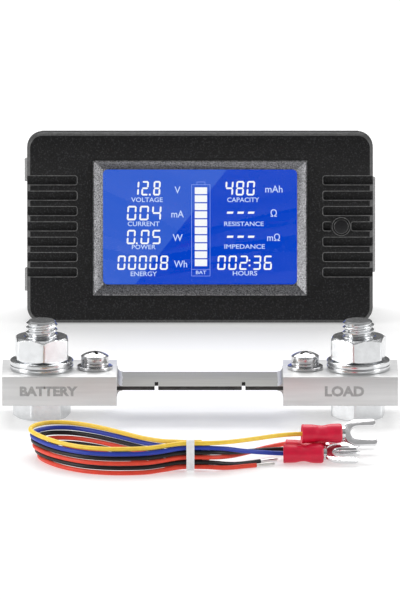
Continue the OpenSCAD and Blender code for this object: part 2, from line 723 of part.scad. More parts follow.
// One clip: a barrel with end pins, and a leaf that flares out to a hooked tip
module panel_clip(side, h, gap_h) {
    reach_x = clip_tip_x - clip_pivot_x;
    reach_y = clip_pivot_y - clip_tip_y;
    color("darkgray") place_display() mirror([side < 0 ? 1 : 0, 0, 0])
        translate([clip_pivot_x, clip_pivot_y, mid_z - h / 2]) {
            difference() {
                union() {
                    cylinder(r = clip_barrel_r, h = h);
                    linear_extrude(h) polygon([[-clip_barrel_r, 0], [clip_barrel_r, 0],
                        [reach_x, 1.4 - reach_y], [reach_x, 0.6 - reach_y], [reach_x - 0.6, -reach_y],
                        [reach_x - 1.6, -reach_y]]);
                }
                if (gap_h > 0) {
                    translate([-5, -reach_y - 1, (h - gap_h) / 2]) cube([20, reach_y - 1, gap_h]);
                }
            }
            translate([0, 0, -clip_gap - clip_pin_l])
                cylinder(r = clip_pin_r, h = h + 2 * clip_gap + 2 * clip_pin_l);
        }
}

module left_panel_clip() {
    panel_clip(-1, left_clip_h, left_clip_h - 2 * clip_finger);
}

module right_panel_clip() {
    panel_clip(1, clip_h, 0);
}

function way_x(i) = (i - (ways - 1) / 2) * way_pitch;

module terminal_block() {
    color("seagreen") place_display() difference() {
        box_plate(terminal_w, terminal_h, pcb_back, terminal_back, 0, terminal_z);
        for (i = [0 : ways - 1]) {
            rod(entry_r, terminal_back - entry_l, terminal_back + 1, way_x(i), entry_z);
            rod(clamp_r + 0.05, terminal_back - clamp_l - 0.3, terminal_back + 1, way_x(i), clamp_z);
        }
    }
}

module terminal_screw(i) {
    color("silver") place_display() difference() {
        rod(clamp_r, terminal_back - clamp_l, terminal_back - 0.4, way_x(i), clamp_z);
        box_plate(2 * clamp_r + 1, 0.5, terminal_back - 1.1, terminal_back + 1, way_x(i), clamp_z);
    }
}

module terminal_screw_1() {
    terminal_screw(0);
}

module terminal_screw_2() {
    terminal_screw(1);
}

module terminal_screw_3() {
    terminal_screw(2);
}

module terminal_screw_4() {
    terminal_screw(3);
}

// ---- Leads ----

function unit(v) = v / norm(v);
function blend(a, b, c, d, t) = 0.5 * (2 * b + (c - a) * t + (2 * a - 5 * b + 4 * c - d) * t * t
    + (3 * b - a - 3 * c + d) * t * t * t);
function smooth(p, n) = concat([for (i = [0 : len(p) - 2], j = [0 : n - 1])
    blend(p[max(i - 1, 0)], p[i], p[i + 1], p[min(i + 2, len(p) - 1)], j / n)], [p[len(p) - 1]]);
function heading(p, i) = unit(p[min(i + 1, len(p) - 1)] - p[max(i - 1, 0)]);
function ring(c, t, r, sides) = let (s = unit(cross(t, [0, 0, 1])), u = cross(s, t))
    [for (k = [0 : sides - 1]) c + r * (cos(360 * k / sides) * s + sin(360 * k / sides) * u)];

// A tube of the given radius swept along the points
module tube(p, r, sides = 8) {
    n = len(p);
    points = [for (i = [0 : n - 1]) each ring(p[i], heading(p, i), r, sides)];
    walls = [for (i = [0 : n - 2], k = [0 : sides - 1]) let (a = i * sides + k,
        b = i * sides + (k + 1) % sides) each [[a, b, b + sides], [a, b + sides, a + sides]]];
    caps = concat([for (k = [1 : sides - 2]) [0, k + 1, k]],
        [for (k = [1 : sides - 2]) [(n - 1) * sides, (n - 1) * sides + k, (n - 1) * sides + k + 1]]);
    polyhedron(points = points, faces = concat(walls, caps));
}

module wire(route) {
    place_leads() tube(smooth(route, 2), wire_r);
}

module yellow_wire() {
    color("gold") wire(yellow_route);
}

module blue_wire() {
    color("mediumblue") wire(blue_route);
}

module black_wire_1() {
    color("black") wire(black_route_1);
}

module red_wire_1() {
    color("tomato") wire(red_route_1);
}

module black_wire_2() {
    color("black") wire(black_route_2);
}

module red_wire_2() {
    color("tomato") wire(red_route_2);
}

module place_terminal(seat) {
    place_leads() translate([seat[0], seat[1], seat[2]]) rotate([0, 0, seat[3]]) rotate([seat[4], 0, 0])
        children();
}

// Insulating sleeve: a belled mouth, a waist where it is crimped, and a full rear end
module sleeve(seat) {
    r = sleeve_r;
    color("crimson") place_terminal(seat) rotate([0, 90, 0]) rotate_extrude()
        polygon([[r - 0.75, 0], [r - 0.15, 0], [r, 0.3], [r - 0.02, 2.2], [r - 0.22, 4],
            [r - 0.28, sleeve_l / 2], [r - 0.16, sleeve_l - 3.6], [r, sleeve_l - 1.6],
            [r - 0.04, sleeve_l - 0.3], [r - 0.3, sleeve_l], [barrel_r + 0.05, sleeve_l],
            [barrel_r + 0.05, 3.2], [r - 0.75, 1.8]]);
}

module yellow_sleeve() {
    sleeve(yellow_seat);
}

module blue_sleeve() {
    sleeve(blue_seat);
}

module black_sleeve() {
    sleeve(black_seat);
}

module red_sleeve() {
    sleeve(red_seat);
}

// Fork terminal: a barrel inside the sleeve, a neck and two tines
module fork(seat) {
    tip = sleeve_l + fork_l;
    eye_x = sleeve_l + fork_w / 2 + 0.2;
    color("lightgray") place_terminal(seat) {
        rotate([0, 90, 0]) difference() {
            translate([0, 0, 2.4]) cylinder(r = barrel_r, h = sleeve_l - 1.6);
            translate([0, 0, 2]) cylinder(r = barrel_bore, h = sleeve_l - 2.4);
        }
        translate([0, 0, -fork_t / 2]) linear_extrude(fork_t) difference() {
            union() {
                translate([sleeve_l, -1.5]) square([2, 3]);
                translate([eye_x, 0]) circle(d = fork_w);
                translate([eye_x, -fork_w / 2]) square([tip - eye_x - tine_round, fork_w]);
                for (s = [-1, 1]) {
                    translate([tip - tine_round - 0.4, s * (fork_w / 2 - 0.95)]) circle(r = 0.95);
                }
            }
            translate([eye_x, 0]) circle(d = fork_slot);
            translate([eye_x, -fork_slot / 2]) square([tip, fork_slot]);
        }
    }
}

module yellow_fork() {
    fork(yellow_seat);
}

module blue_fork() {
    fork(blue_seat);
}

module black_fork() {
    fork(black_seat);
}

module red_fork() {
    fork(red_seat);
}

// A flat band around both columns of wires, with its lock on the far side
module cable_tie() {
    stack_h = 5 * level + wire_d + 0.2;
    stack_w = column_gap + wire_d + 2 * tie_gap;
    near_y = -wire_r - tie_gap;
    low = tie_rise - 0.1;
    color("white") place_leads() {
        difference() {
            translate([tie_x - tie_w / 2, near_y - tie_t, low - tie_t])
                cube([tie_w, stack_w + 2 * tie_t, stack_h + 2 * tie_t]);
            translate([tie_x - tie_w, near_y, low]) cube([2 * tie_w, stack_w, stack_h]);
        }
        translate([tie_x - 1.7, near_y + stack_w + tie_t - eps, 2.4]) cube([3.4, 2, 3]);
    }
}

// Tinned conductor that shows at each stripped end
module tinned_end(route, at_start, l) {
    a = at_start ? route[0] : route[len(route) - 1];
    b = at_start ? route[1] : route[len(route) - 2];
    d = unit(a - b);
    tube([a + d * 0.02, a + d * (l - 0.2), a + d * l], tin_r);
}

module tinned_ends() {
    color("lightgray") place_leads() {
        tinned_end(black_route_2, true, 5);
        tinned_end(red_route_2, true, 5);
        for (route = [yellow_route, blue_route, black_route_1, red_route_1, black_route_2,
            red_route_2]) {
            tinned_end(route, false, 2);
        }
    }
}

left_block();
right_block();
resistor_strip();
left_solder();
right_solder();
left_bolt();
right_bolt();
left_lower_washer();
right_lower_washer();
left_upper_washer();
right_upper_washer();
left_nut();
right_nut();
left_sense_washer();
right_sense_washer();
left_sense_spring_washer();
right_sense_spring_washer();
left_sense_screw();
right_sense_screw();
front_bezel();
window_trim();
window_lens();
lcd_glass();
backlight();
lcd_pins();
main_pcb();
mcu_chip();
pcb_components();
tact_switch();
button();
rear_housing();
case_screws();
left_panel_clip();
right_panel_clip();
terminal_block();
terminal_screw_1();
terminal_screw_2();
terminal_screw_3();
terminal_screw_4();
yellow_wire();
blue_wire();
black_wire_1();
red_wire_1();
black_wire_2();
red_wire_2();
yellow_sleeve();
blue_sleeve();
black_sleeve();
red_sleeve();
yellow_fork();
blue_fork();
black_fork();
red_fork();
cable_tie();
tinned_ends();
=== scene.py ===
import json
import math

import bmesh
import bpy
from mathutils import Matrix, Vector, noise

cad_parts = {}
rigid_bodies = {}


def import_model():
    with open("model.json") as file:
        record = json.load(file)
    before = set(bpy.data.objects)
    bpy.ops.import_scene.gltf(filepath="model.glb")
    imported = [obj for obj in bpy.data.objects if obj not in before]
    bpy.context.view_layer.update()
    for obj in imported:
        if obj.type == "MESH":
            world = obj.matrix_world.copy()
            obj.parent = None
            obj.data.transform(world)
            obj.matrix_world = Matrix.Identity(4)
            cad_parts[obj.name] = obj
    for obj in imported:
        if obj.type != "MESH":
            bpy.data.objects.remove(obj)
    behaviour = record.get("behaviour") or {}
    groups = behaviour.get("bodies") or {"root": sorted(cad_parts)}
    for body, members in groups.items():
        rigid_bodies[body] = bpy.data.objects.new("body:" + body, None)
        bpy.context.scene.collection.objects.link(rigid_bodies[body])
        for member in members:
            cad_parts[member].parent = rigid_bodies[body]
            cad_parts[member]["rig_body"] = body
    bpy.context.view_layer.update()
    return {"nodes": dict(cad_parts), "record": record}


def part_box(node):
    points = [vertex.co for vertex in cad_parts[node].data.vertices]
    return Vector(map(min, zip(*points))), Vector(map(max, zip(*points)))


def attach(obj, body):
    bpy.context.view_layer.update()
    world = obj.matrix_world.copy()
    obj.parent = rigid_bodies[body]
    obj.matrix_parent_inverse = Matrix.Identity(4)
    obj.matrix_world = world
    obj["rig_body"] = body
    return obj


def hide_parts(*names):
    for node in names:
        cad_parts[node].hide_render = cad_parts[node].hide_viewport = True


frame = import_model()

MM = 0.001
nodes = frame["nodes"]
SLOT = {s["node"]: s["material_slot"] for s in frame["record"]["subparts"]}


# ---------------------------------------------------------------- places taken from the frame

def middle(node):
    low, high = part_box(node)
    return (low + high) / 2


SHUNT_Y = middle("left_bolt").y
BOLT_X = 40 * MM

# The wires lie in two columns inside the tie's band; y counts back from the front column
WIRE_R = 0.575 * MM
COLUMN_PITCH = 1.25 * MM
BAND_T, BAND_GAP = 0.5 * MM, 0.15 * MM
LEAD_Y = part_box("cable_tie")[0].y + BAND_T + BAND_GAP + WIRE_R

# The display stands on its bezel's and its housing's lower edges, so it leans back
HOUSING_STEP, HOUSING_D = 2, 20
LEAN = math.atan(HOUSING_STEP / HOUSING_D)
DISPLAY_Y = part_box("rear_housing")[0].y - HOUSING_STEP * MM * math.sin(LEAN)
DISPLAY = Matrix.Translation((0, DISPLAY_Y, 0)) @ Matrix.Rotation(-LEAN, 4, "X")


# ---------------------------------------------------------------- camera

def linked(name, data):
    """An object of that data, in the scene."""
    o = bpy.data.objects.new(name, data)
    bpy.context.scene.collection.objects.link(o)
    return o


def make_camera():
    """A long lens that looks down on the shunt a little, as in the photograph."""
    pitch, distance, aim_z = math.radians(12.3), 4.21, 0.030
    cam = linked("camera", bpy.data.cameras.new("camera"))
    cam.location = (0, SHUNT_Y - distance * math.cos(pitch), aim_z + distance * math.sin(pitch))
    cam.rotation_euler = (math.pi / 2 - pitch, 0, 0)
    cam.data.sensor_width, cam.data.lens = 36, 1000
    cam.data.clip_start, cam.data.clip_end = 0.05, 20
    bpy.context.scene.camera = cam


make_camera()


# ---------------------------------------------------------------- mesh helpers

def mesh_from(name, verts, faces):
    mesh = bpy.data.meshes.new(name)
    mesh.from_pydata([tuple(v) for v in verts], [], faces)
    mesh.validate()
    return mesh


def mesh_of(bm, name):
    """The mesh of a bmesh, which is freed."""
    mesh = bpy.data.meshes.new(name)
    bm.to_mesh(mesh)
    bm.free()
    return mesh


def shade_by_angle(mesh, degrees):
    """Smooth faces, with sharp edges where they meet at more than that angle."""
    bm = bmesh.new()
    bm.from_mesh(mesh)
    for f in bm.faces:
        f.smooth = True
    for e in bm.edges:
        if len(e.link_faces) == 2:
            e.smooth = e.calc_face_angle(0) < math.radians(degrees)
    bm.to_mesh(mesh)
    bm.free()


def body_of(node):
    return nodes[node]["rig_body"]


def new_object(name, mesh, body, smooth=True):
    o = linked(name, mesh)
    for p in mesh.polygons:
        p.use_smooth = smooth
    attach(o, body)
    return o


def dress(o, slot):
    o.data.materials.clear()
    o.data.materials.append(MATS[slot])
    return o


def stand_in(node, name, mesh, sharp):
    """A mesh in a CAD node's place, on its body and in its material."""
    o = new_object(name, mesh, body_of(node))
    shade_by_angle(o.data, sharp)
    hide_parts(node)
    return dress(o, SLOT[node])


def merged(node, flat_angle):
    """A CAD node's mesh with its doubles merged and its flat faces joined."""
    bm = bmesh.new()
    bm.from_mesh(nodes[node].data)
    bmesh.ops.remove_doubles(bm, verts=bm.verts, dist=1e-6)
    bmesh.ops.dissolve_limit(bm, angle_limit=math.radians(flat_angle), verts=bm.verts,
                             edges=bm.edges)
    return bm


def softened(node, width, segments=3):
    """A CAD node with its sharp edges rounded, in the node's place."""
    name = node + "_finished"
    o = linked(name, mesh_of(merged(node, 0.5), name))
    bevel = o.modifiers.new("bevel", "BEVEL")
    bevel.width = width
    bevel.segments = segments
    bevel.limit_method = "ANGLE"
    bevel.angle_limit = math.radians(28)
    bevel.use_clamp_overlap = True
    bevel.harden_normals = False
    made = bpy.data.meshes.new_from_object(
        o.evaluated_get(bpy.context.evaluated_depsgraph_get()))
    o.modifiers.clear()
    o.data = made
    shade_by_angle(made, 40)
    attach(o, body_of(node))
    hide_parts(node)
    return dress(o, SLOT[node])


def lathe(profile, sides, axis_point=(0, 0, 0)):
    """Vertices and faces of a closed profile of (radius, along) turned about +Z."""
    verts, faces = [], []
    n = len(profile)
    for k in range(sides):
        a = 2 * math.pi * k / sides
        for r, z in profile:
            verts.append((axis_point[0] + r * math.cos(a), axis_point[1] + r * math.sin(a),
                          axis_point[2] + z))
    for k in range(sides):
        for i in range(n):
            j = (i + 1) % n
            k2 = (k + 1) % sides
            faces.append((k * n + i, k2 * n + i, k2 * n + j, k * n + j))
    return verts, faces


# ---------------------------------------------------------------- materials

EVEN = (1, 1, 1)
# Materials by the name they are made under; Blender may add a number to its own name
MATS = {}


def shader(name, colour, rough, metal=0.0, coat=0.0, spec=0.5):
    """A material with one Principled shader, and its node tree to add detail to."""
    m = bpy.data.materials.new(name)
    m.use_nodes = True
    tree = m.node_tree
    b = tree.nodes["Principled BSDF"]
    b.inputs["Base Color"].default_value = (*colour, 1)
    b.inputs["Roughness"].default_value = rough
    b.inputs["Metallic"].default_value = metal
    b.inputs["Coat Weight"].default_value = coat
    b.inputs["Specular IOR Level"].default_value = spec
    MATS[name] = m
    return m, tree, b


def noise_node(tree, scale, detail=3.0, stretch=EVEN):
    coord = tree.nodes.new("ShaderNodeTexCoord")
    mapping = tree.nodes.new("ShaderNodeMapping")
    mapping.inputs["Scale"].default_value = stretch
    n = tree.nodes.new("ShaderNodeTexNoise")
    n.inputs["Scale"].default_value = scale
    n.inputs["Detail"].default_value = detail
    tree.links.new(coord.outputs["Object"], mapping.inputs["Vector"])
    tree.links.new(mapping.outputs["Vector"], n.inputs["Vector"])
    return n


def add_bump(tree, b, scale, strength, distance, detail=3.0, stretch=EVEN):
    n = noise_node(tree, scale, detail, stretch)
    bump = tree.nodes.new("ShaderNodeBump")
    bump.inputs["Strength"].default_value = strength
    bump.inputs["Distance"].default_value = distance
    tree.links.new(n.outputs["Fac"], bump.inputs["Height"])
    tree.links.new(bump.outputs["Normal"], b.inputs["Normal"])


def vary_colour(tree, b, low, high, scale, stretch=EVEN, detail=3.0, span=(0.3, 0.7)):
    """Base colour that runs from low to high with a noise."""
    n = noise_node(tree, scale, detail, stretch)
    ramp = tree.nodes.new("ShaderNodeValToRGB")
    for stop, colour in zip(ramp.color_ramp.elements, (low, high)):
        stop.color = (*colour, 1)
    ramp.color_ramp.elements[0].position, ramp.color_ramp.elements[1].position = span
    tree.links.new(n.outputs["Fac"], ramp.inputs["Fac"])
    tree.links.new(ramp.outputs["Color"], b.inputs["Base Color"])


def vary_rough(tree, b, low, high, scale, stretch=EVEN):
    n = noise_node(tree, scale, 4.0, stretch)
    span = tree.nodes.new("ShaderNodeMapRange")
    span.inputs["To Min"].default_value = low
    span.inputs["To Max"].default_value = high
    tree.links.new(n.outputs["Fac"], span.inputs["Value"])
    tree.links.new(span.outputs["Result"], b.inputs["Roughness"])


def tinted(colour, share):
    return [min(1, v * share) for v in colour]


def grey(value):
    return (value, value, value)


def moulded(name, colour, rough, grain, strength, speck=0.2):
    """Plastic with a spark-eroded texture; a speck above 1 gives sparse bright grains."""
    m, tree, b = shader(name, colour, rough, spec=0.3)
    low, high, span = 1 - speck, 1 + speck, (0.3, 0.7)
    if speck > 1:
        low, high, span = 0.5, speck, (0.52, 0.74)
    vary_colour(tree, b, tinted(colour, low), tinted(colour, high), 2600, detail=1.0, span=span)
    vary_rough(tree, b, rough - 0.08, rough + 0.08, 1300)
    add_bump(tree, b, grain, strength, 0.00008, 2.0)
    return m


def metal(name, colour, rough, scale, strength, grain=EVEN, share=1.0):
    """Plated metal with a grain that runs along the axis with the smallest stretch."""
    m, tree, b = shader(name, colour, rough, metal=share)
    vary_colour(tree, b, tinted(colour, 0.93), tinted(colour, 1.04), scale / 3, grain)
    vary_rough(tree, b, max(0.02, rough - 0.06), rough + 0.08, scale / 2, grain)
    add_bump(tree, b, scale, strength, 0.00003, 3.0, grain)
    return m


def pearl_paint(name):
    """Painted trim with a coarse metallic sparkle."""
    m, tree, b = shader(name, (0.26, 0.26, 0.265), 0.36, metal=1.0)
    vary_colour(tree, b, (0.065, 0.065, 0.07), (0.38, 0.38, 0.39), 3200, detail=1.0)
    vary_rough(tree, b, 0.30, 0.44, 2100)
    add_bump(tree, b, 4200, 0.9, 0.00003)
    return m


def soft_vinyl(name, colour, rough, strength=0.12):
    m, tree, b = shader(name, colour, rough, coat=0.15, spec=0.3)
    b.inputs["Coat Roughness"].default_value = 0.35
    b.inputs["Subsurface Weight"].default_value = 0.05
    b.inputs["Subsurface Radius"].default_value = (0.0006, 0.0004, 0.0004)
    vary_colour(tree, b, tinted(colour, 0.92), tinted(colour, 1.05), 700)
    vary_rough(tree, b, rough - 0.05, rough + 0.07, 1500)
    add_bump(tree, b, 2500, strength, 0.00005, 2.0)
    return m


def clear_plastic(name):
    m, tree, b = shader(name, grey(1), 0.02)
    b.inputs["Transmission Weight"].default_value = 1.0
    b.inputs["IOR"].default_value = 1.3
    vary_rough(tree, b, 0.0, 0.03, 200)
    return m


def lit(name, colour):
    """Lettering and segments the backlight shows through, a little uneven in strength."""
    m, tree, b = shader(name, (0.02, 0.03, 0.05), 0.4, spec=0.0)
    b.inputs["Emission Strength"].default_value = 1.0
    grain = noise_node(tree, 900)
    ramp = tree.nodes.new("ShaderNodeValToRGB")
    ramp.color_ramp.elements[0].color = (*tinted(colour, 0.94), 1)
    ramp.color_ramp.elements[1].color = (*colour, 1)
    tree.links.new(grain.outputs["Fac"], ramp.inputs["Fac"])
    tree.links.new(ramp.outputs["Color"], b.inputs["Emission Color"])
    return m


def engraved(name):
    m, tree, b = shader(name, grey(0.40), 0.55, metal=0.3)
    add_bump(tree, b, 6000, 0.4, 0.00003)
    vary_colour(tree, b, grey(0.34), grey(0.46), 2500)
    return m


def dark_edge_metal(name):
    """The darker, rougher metal of the strip's front and back faces."""
    m, tree, b = shader(name, grey(0.03), 0.5, metal=0.3)
    vary_colour(tree, b, grey(0.015), (0.05, 0.05, 0.048), 1500, (0.3, 1, 1))
    add_bump(tree, b, 3000, 0.4, 0.00003)
    return m


def painted_highlight_plastic(name, value):
    """Glossier plastic for an edge, lighter in colour than the bezel: the lighter colour is a painted
    highlight.
    """
    m, tree, b = shader(name, grey(value), 0.3, spec=0.6)
    vary_colour(tree, b, grey(value * 0.5), grey(value * 1.4), 1500)
    vary_rough(tree, b, 0.22, 0.42, 1800)
    add_bump(tree, b, 2400, 0.3, 0.00005)
    return m


moulded("bezel_plastic", (0.0065, 0.0065, 0.007), 0.5, 2400, 0.6, 4.5)
moulded("housing_plastic", (0.008, 0.008, 0.0085), 0.5, 2400, 0.5, 3)
pearl_paint("trim_silver")
moulded("light_guide", (0.8, 0.82, 0.85), 0.4, 3000, 0.1)
moulded("circuit_board", (0.02, 0.14, 0.05), 0.3, 2500, 0.2)
moulded("components", (0.03, 0.03, 0.032), 0.4, 6000, 0.3)
metal("tinned_copper", (0.72, 0.70, 0.68), 0.3, 5000, 0.3)
moulded("switch_plastic", grey(0.06), 0.4, 6000, 0.2)
moulded("button_plastic", (0.011, 0.011, 0.012), 0.35, 5200, 0.25)
moulded("clip_plastic", grey(0.3), 0.45, 5200, 0.3)
moulded("terminal_plastic", (0.02, 0.2, 0.07), 0.4, 5200, 0.3)
metal("screw_steel", (0.62, 0.62, 0.63), 0.2, 2500, 0.15)
metal("plated_steel", (0.68, 0.69, 0.70), 0.2, 1800, 0.16)
metal("plated_brass", grey(0.71), 0.42, 2600, 0.2, (0.06, 1, 1), 0.5)
metal("manganin", (0.27, 0.268, 0.255), 0.55, 3000, 0.3, (0.05, 1, 1), 0.12)
metal("solder", grey(0.48), 0.42, 1500, 0.4, share=0.6)
soft_vinyl("yellow_insulation", (1.0, 0.66, 0.07), 0.4)
soft_vinyl("blue_insulation", (0.02, 0.05, 0.42), 0.42)
soft_vinyl("black_insulation", (0.006, 0.005, 0.005), 0.42)
soft_vinyl("red_insulation", (0.85, 0.07, 0.035), 0.42)
soft_vinyl("red_sleeve", (0.72, 0.01, 0.05), 0.38, 0.25)
metal("tinned_fork", (0.74, 0.74, 0.75), 0.22, 2200, 0.15)
soft_vinyl("white_nylon", (0.95, 0.95, 0.96), 0.35)
clear_plastic("clear_window")
SEGMENTS = lit("lit_segments", (0.97, 0.99, 1.0))
LEGENDS = lit("lit_legends", (0.56, 0.69, 0.98))
FAINT = lit("lit_outline", (0.26, 0.38, 0.9))


# ---------------------------------------------------------------- leads

YELLOW_ROUTE = [
    (28.4, 11.7, 7), (26, 11.5, 7), (23, 11, 7), (19, 9.4, 7), (14, 6.2, 7), (9, 2.8, 7.1),
    (5, 0.7, 7.2), (1, 0.1, 7.2), (-2.4, 0, 7.2), (-3.8, -0.1, 7.2), (-6, -0.6, 7.1),
    (-9.4, -1.7, 6.8), (-13, -2.9, 6.6), (-17.2, -3.8, 6.6), (-23.4, -3.8, 6.6), (-29.4, -1.6, 6.6),
    (-34.2, 2.4, 6.6), (-38, 7.4, 6.6), (-41, 13, 6.6), (-42.4, 17.8, 6.6), (-41.6, 22.4, 6.6),
    (-38.8, 25.6, 6.6), (-35.2, 26.4, 6.6), (-31.6, 25.4, 6.6), (-27.6, 22.8, 6.6),
    (-23.2, 18.6, 6.6), (-18.6, 13.4, 6.6), (-14, 8.4, 6.6), (-9.6, 4.4, 6.8), (-6, 2.2, 7.1),
    (-3.8, 1.3, 7.2), (-2.4, 1.25, 7.2), (-0.8, 1.3, 7.2), (0.4, 1.5, 7.2),
]
BLUE_ROUTE = [
    (23.8, 9.2, 2.5), (21.4, 9.2, 2.5), (18.4, 8.8, 2.7), (14.6, 7.2, 3.3), (10.4, 4.4, 4.3),
    (7, 2, 5.3), (4, 0.6, 5.8), (1, 0.1, 6), (-2.4, 0, 6), (-3.8, -0.1, 6), (-6, -0.8, 5.9),
    (-9.4, -2.2, 5.6), (-13, -3.4, 5.4), (-17.4, -4.3, 5.4), (-23.4, -4.2, 5.4), (-29.2, -2.2, 5.4),
    (-34, 1.6, 5.4), (-37.8, 6.6, 5.4), (-40.8, 12.4, 5.4), (-42, 17, 5.4), (-41.2, 21.6, 5.4),
    (-38.4, 24.8, 5.4), (-35, 25.8, 5.4), (-31.4, 25, 5.4), (-27.2, 22.2, 5.4), (-22.8, 18, 5.4),
    (-18.2, 13, 5.4), (-13.8, 8.2, 5.4), (-9.4, 4.2, 5.6), (-6, 2.2, 5.9), (-3.8, 1.3, 6),
    (-2.4, 1.25, 6), (-0.8, 1.3, 6), (0.6, 1.5, 6),
]
BLACK_ROUTE_1 = [
    (24.4, 14.2, 2.5), (22, 14.2, 2.5), (18.4, 13.4, 2.6), (14, 10.8, 2.9), (9.8, 7, 3.4),
    (6.8, 3.4, 4.1), (4.2, 1.1, 4.6), (1, 0.1, 4.8), (-2.4, 0, 4.8), (-3.8, -0.1, 4.8),
    (-6, -0.7, 4.7), (-9.4, -2, 4.4), (-13, -3.3, 4.2), (-17.2, -4.1, 4.2), (-23, -4, 4.2),
    (-28.8, -2, 4.2), (-33.6, 1.8, 4.2), (-37.6, 6.8, 4.2), (-40.6, 12.6, 4.2), (-41.8, 17.2, 4.2),
    (-40.8, 21.8, 4.2), (-38, 24.8, 4.2), (-34.6, 25.4, 4.2), (-31, 24.4, 4.2), (-26.8, 21.6, 4.2),
    (-22.4, 17.4, 4.2), (-18, 12.6, 4.2), (-13.6, 7.8, 4.2), (-9.4, 4, 4.4), (-6, 2.2, 4.7),
    (-3.8, 1.3, 4.8), (-2.4, 1.25, 4.8), (-0.8, 1.3, 4.8), (0.2, 1.5, 4.8),
]
RED_ROUTE_1 = [
    (28.4, 22.2, 2.5), (26, 22, 2.5), (22, 20.6, 2.5), (17, 16.8, 2.4), (12.2, 11.6, 2.3),
    (8.4, 6.4, 2.6), (5.4, 2.6, 3.1), (2.6, 0.4, 3.5), (0, 0.1, 3.6), (-2.4, 0, 3.6),
    (-3.8, -0.1, 3.6), (-6, -0.7, 3.5), (-9.4, -2, 3.2), (-13, -3.4, 3), (-17.2, -4.3, 3),
    (-22.8, -4.2, 3), (-28.6, -2.3, 3), (-33.4, 1.4, 3), (-37.4, 6.2, 3), (-40.4, 12, 3),
    (-41.4, 16.8, 3), (-40.4, 21.2, 3), (-37.6, 24.2, 3), (-34.2, 24.8, 3), (-30.6, 23.8, 3),
    (-26.4, 21, 3), (-22, 16.8, 3), (-17.6, 12, 3), (-13.4, 7.6, 3), (-9.4, 4, 3.2), (-6, 2.2, 3.5),
    (-3.8, 1.3, 3.6), (-2.4, 1.25, 3.6), (-0.8, 1.3, 3.6), (0.6, 1.5, 3.6),
]
BLACK_ROUTE_2 = [
    (15, 8.8, 0.6), (12, 7, 0.6), (9, 4.8, 0.8), (6.4, 2.8, 1.3), (4, 1.2, 1.9), (1, 0.2, 2.3),
    (-2.4, 0, 2.4), (-3.8, -0.1, 2.4), (-6, -0.6, 2.3), (-9.4, -1.8, 2), (-13, -3.2, 1.8),
    (-17, -4, 1.8), (-22.6, -3.9, 1.8), (-28.4, -2, 1.8), (-33.2, 1.8, 1.8), (-37, 6.6, 1.8),
    (-39.9, 12.2, 1.8), (-40.8, 16.8, 1.8), (-39.8, 21, 1.8), (-37, 23.8, 1.8), (-33.8, 24.3, 1.8),
    (-30.2, 23.2, 1.8), (-26, 20.4, 1.8), (-21.8, 16.4, 1.8), (-17.4, 11.8, 1.8), (-13.2, 7.4, 1.8),
    (-9.2, 3.8, 2), (-6, 2.1, 2.3), (-3.8, 1.3, 2.4), (-2.4, 1.25, 2.4), (-0.8, 1.3, 2.4),
    (0.4, 1.5, 2.4),
]
RED_ROUTE_2 = [
    (14, 4.4, 0.6), (11, 3.2, 0.6), (8, 1.9, 0.6), (5, 0.7, 0.8), (2, 0.1, 1.1), (-2.4, 0, 1.2),
    (-3.8, -0.1, 1.2), (-6, -0.7, 1.1), (-9.4, -2, 0.8), (-13, -3.4, 0.6), (-17, -4.3, 0.6),
    (-22.4, -4.3, 0.6), (-28, -2.5, 0.6), (-32.8, 1, 0.6), (-36.6, 5.8, 0.6), (-39.4, 11.4, 0.6),
    (-40.2, 16, 0.6), (-39.2, 20.2, 0.6), (-36.4, 23, 0.6), (-33.2, 23.5, 0.6), (-29.6, 22.4, 0.6),
    (-25.6, 19.6, 0.6), (-21.4, 15.8, 0.6), (-17.2, 11.4, 0.6), (-13, 7, 0.6), (-9, 3.6, 0.8),
    (-6, 2.1, 1.1), (-3.8, 1.3, 1.2), (-2.4, 1.25, 1.2), (-0.8, 1.3, 1.2), (0.2, 1.5, 1.2),
]
TIE_X = -2.4 * MM
SLEEVE_L, SLEEVE_R = 10.1, 2.45
# Each sleeve's mouth, where its wire goes in: x, y, z in mm as in the routes, then yaw and roll
SEATS = {
    "yellow": (25.4, 11.4, 7, 5, 38),
    "blue": (20.8, 9.2, 2.5, 0, 20),
    "black": (21.4, 14.2, 2.5, 0, 8),
    "red": (25.4, 21.9, 2.5, 5, -12),
}
# Each wire's route, and the fork on its end if it has one
LEADS = {
    "yellow_wire": (YELLOW_ROUTE, "yellow"),
    "blue_wire": (BLUE_ROUTE, "blue"),
    "black_wire_1": (BLACK_ROUTE_1, "black"),
    "red_wire_1": (RED_ROUTE_1, "red"),
    "black_wire_2": (BLACK_ROUTE_2, None),
    "red_wire_2": (RED_ROUTE_2, None),
}


def along(route, steps):
    """Points in metres on the smooth line through a route, whose y counts back from LEAD_Y."""
    p = [Vector((x, LEAD_Y / MM + y, z)) * MM for x, y, z in route]
    last = len(p) - 1
    out = []
    for i in range(last):
        a, b, c, d = p[max(i - 1, 0)], p[i], p[i + 1], p[min(i + 2, last)]
        for k in range(steps):
            t = k / steps
            out.append(0.5 * (2 * b + (c - a) * t + (2 * a - 5 * b + 4 * c - d) * t * t
                              + (3 * b - a - 3 * c + d) * t ** 3))
    return out + [p[last]]


def polyline_length(points):
    return sum((b - a).length for a, b in zip(points, points[1:]))


def swept(name, points, radii, sides):
    """A closed tube of changing radius along the points."""
    verts, faces = [], []
    up = Vector((0, 0, 1))
    n = len(points)
    for i, p in enumerate(points):
        t = (points[min(i + 1, n - 1)] - points[max(i - 1, 0)]).normalized()
        s = t.cross(up).normalized()
        u = s.cross(t)
        for k in range(sides):
            a = 2 * math.pi * k / sides
            verts.append(p + radii[i] * (math.cos(a) * s + math.sin(a) * u))
    for i in range(n - 1):
        for k in range(sides):
            k2 = (k + 1) % sides
            faces.append((i * sides + k, i * sides + k2, (i + 1) * sides + k2, (i + 1) * sides + k))
    faces.append(tuple(range(sides))[::-1])
    faces.append(tuple((n - 1) * sides + k for k in range(sides)))
    return mesh_from(name, verts, faces)


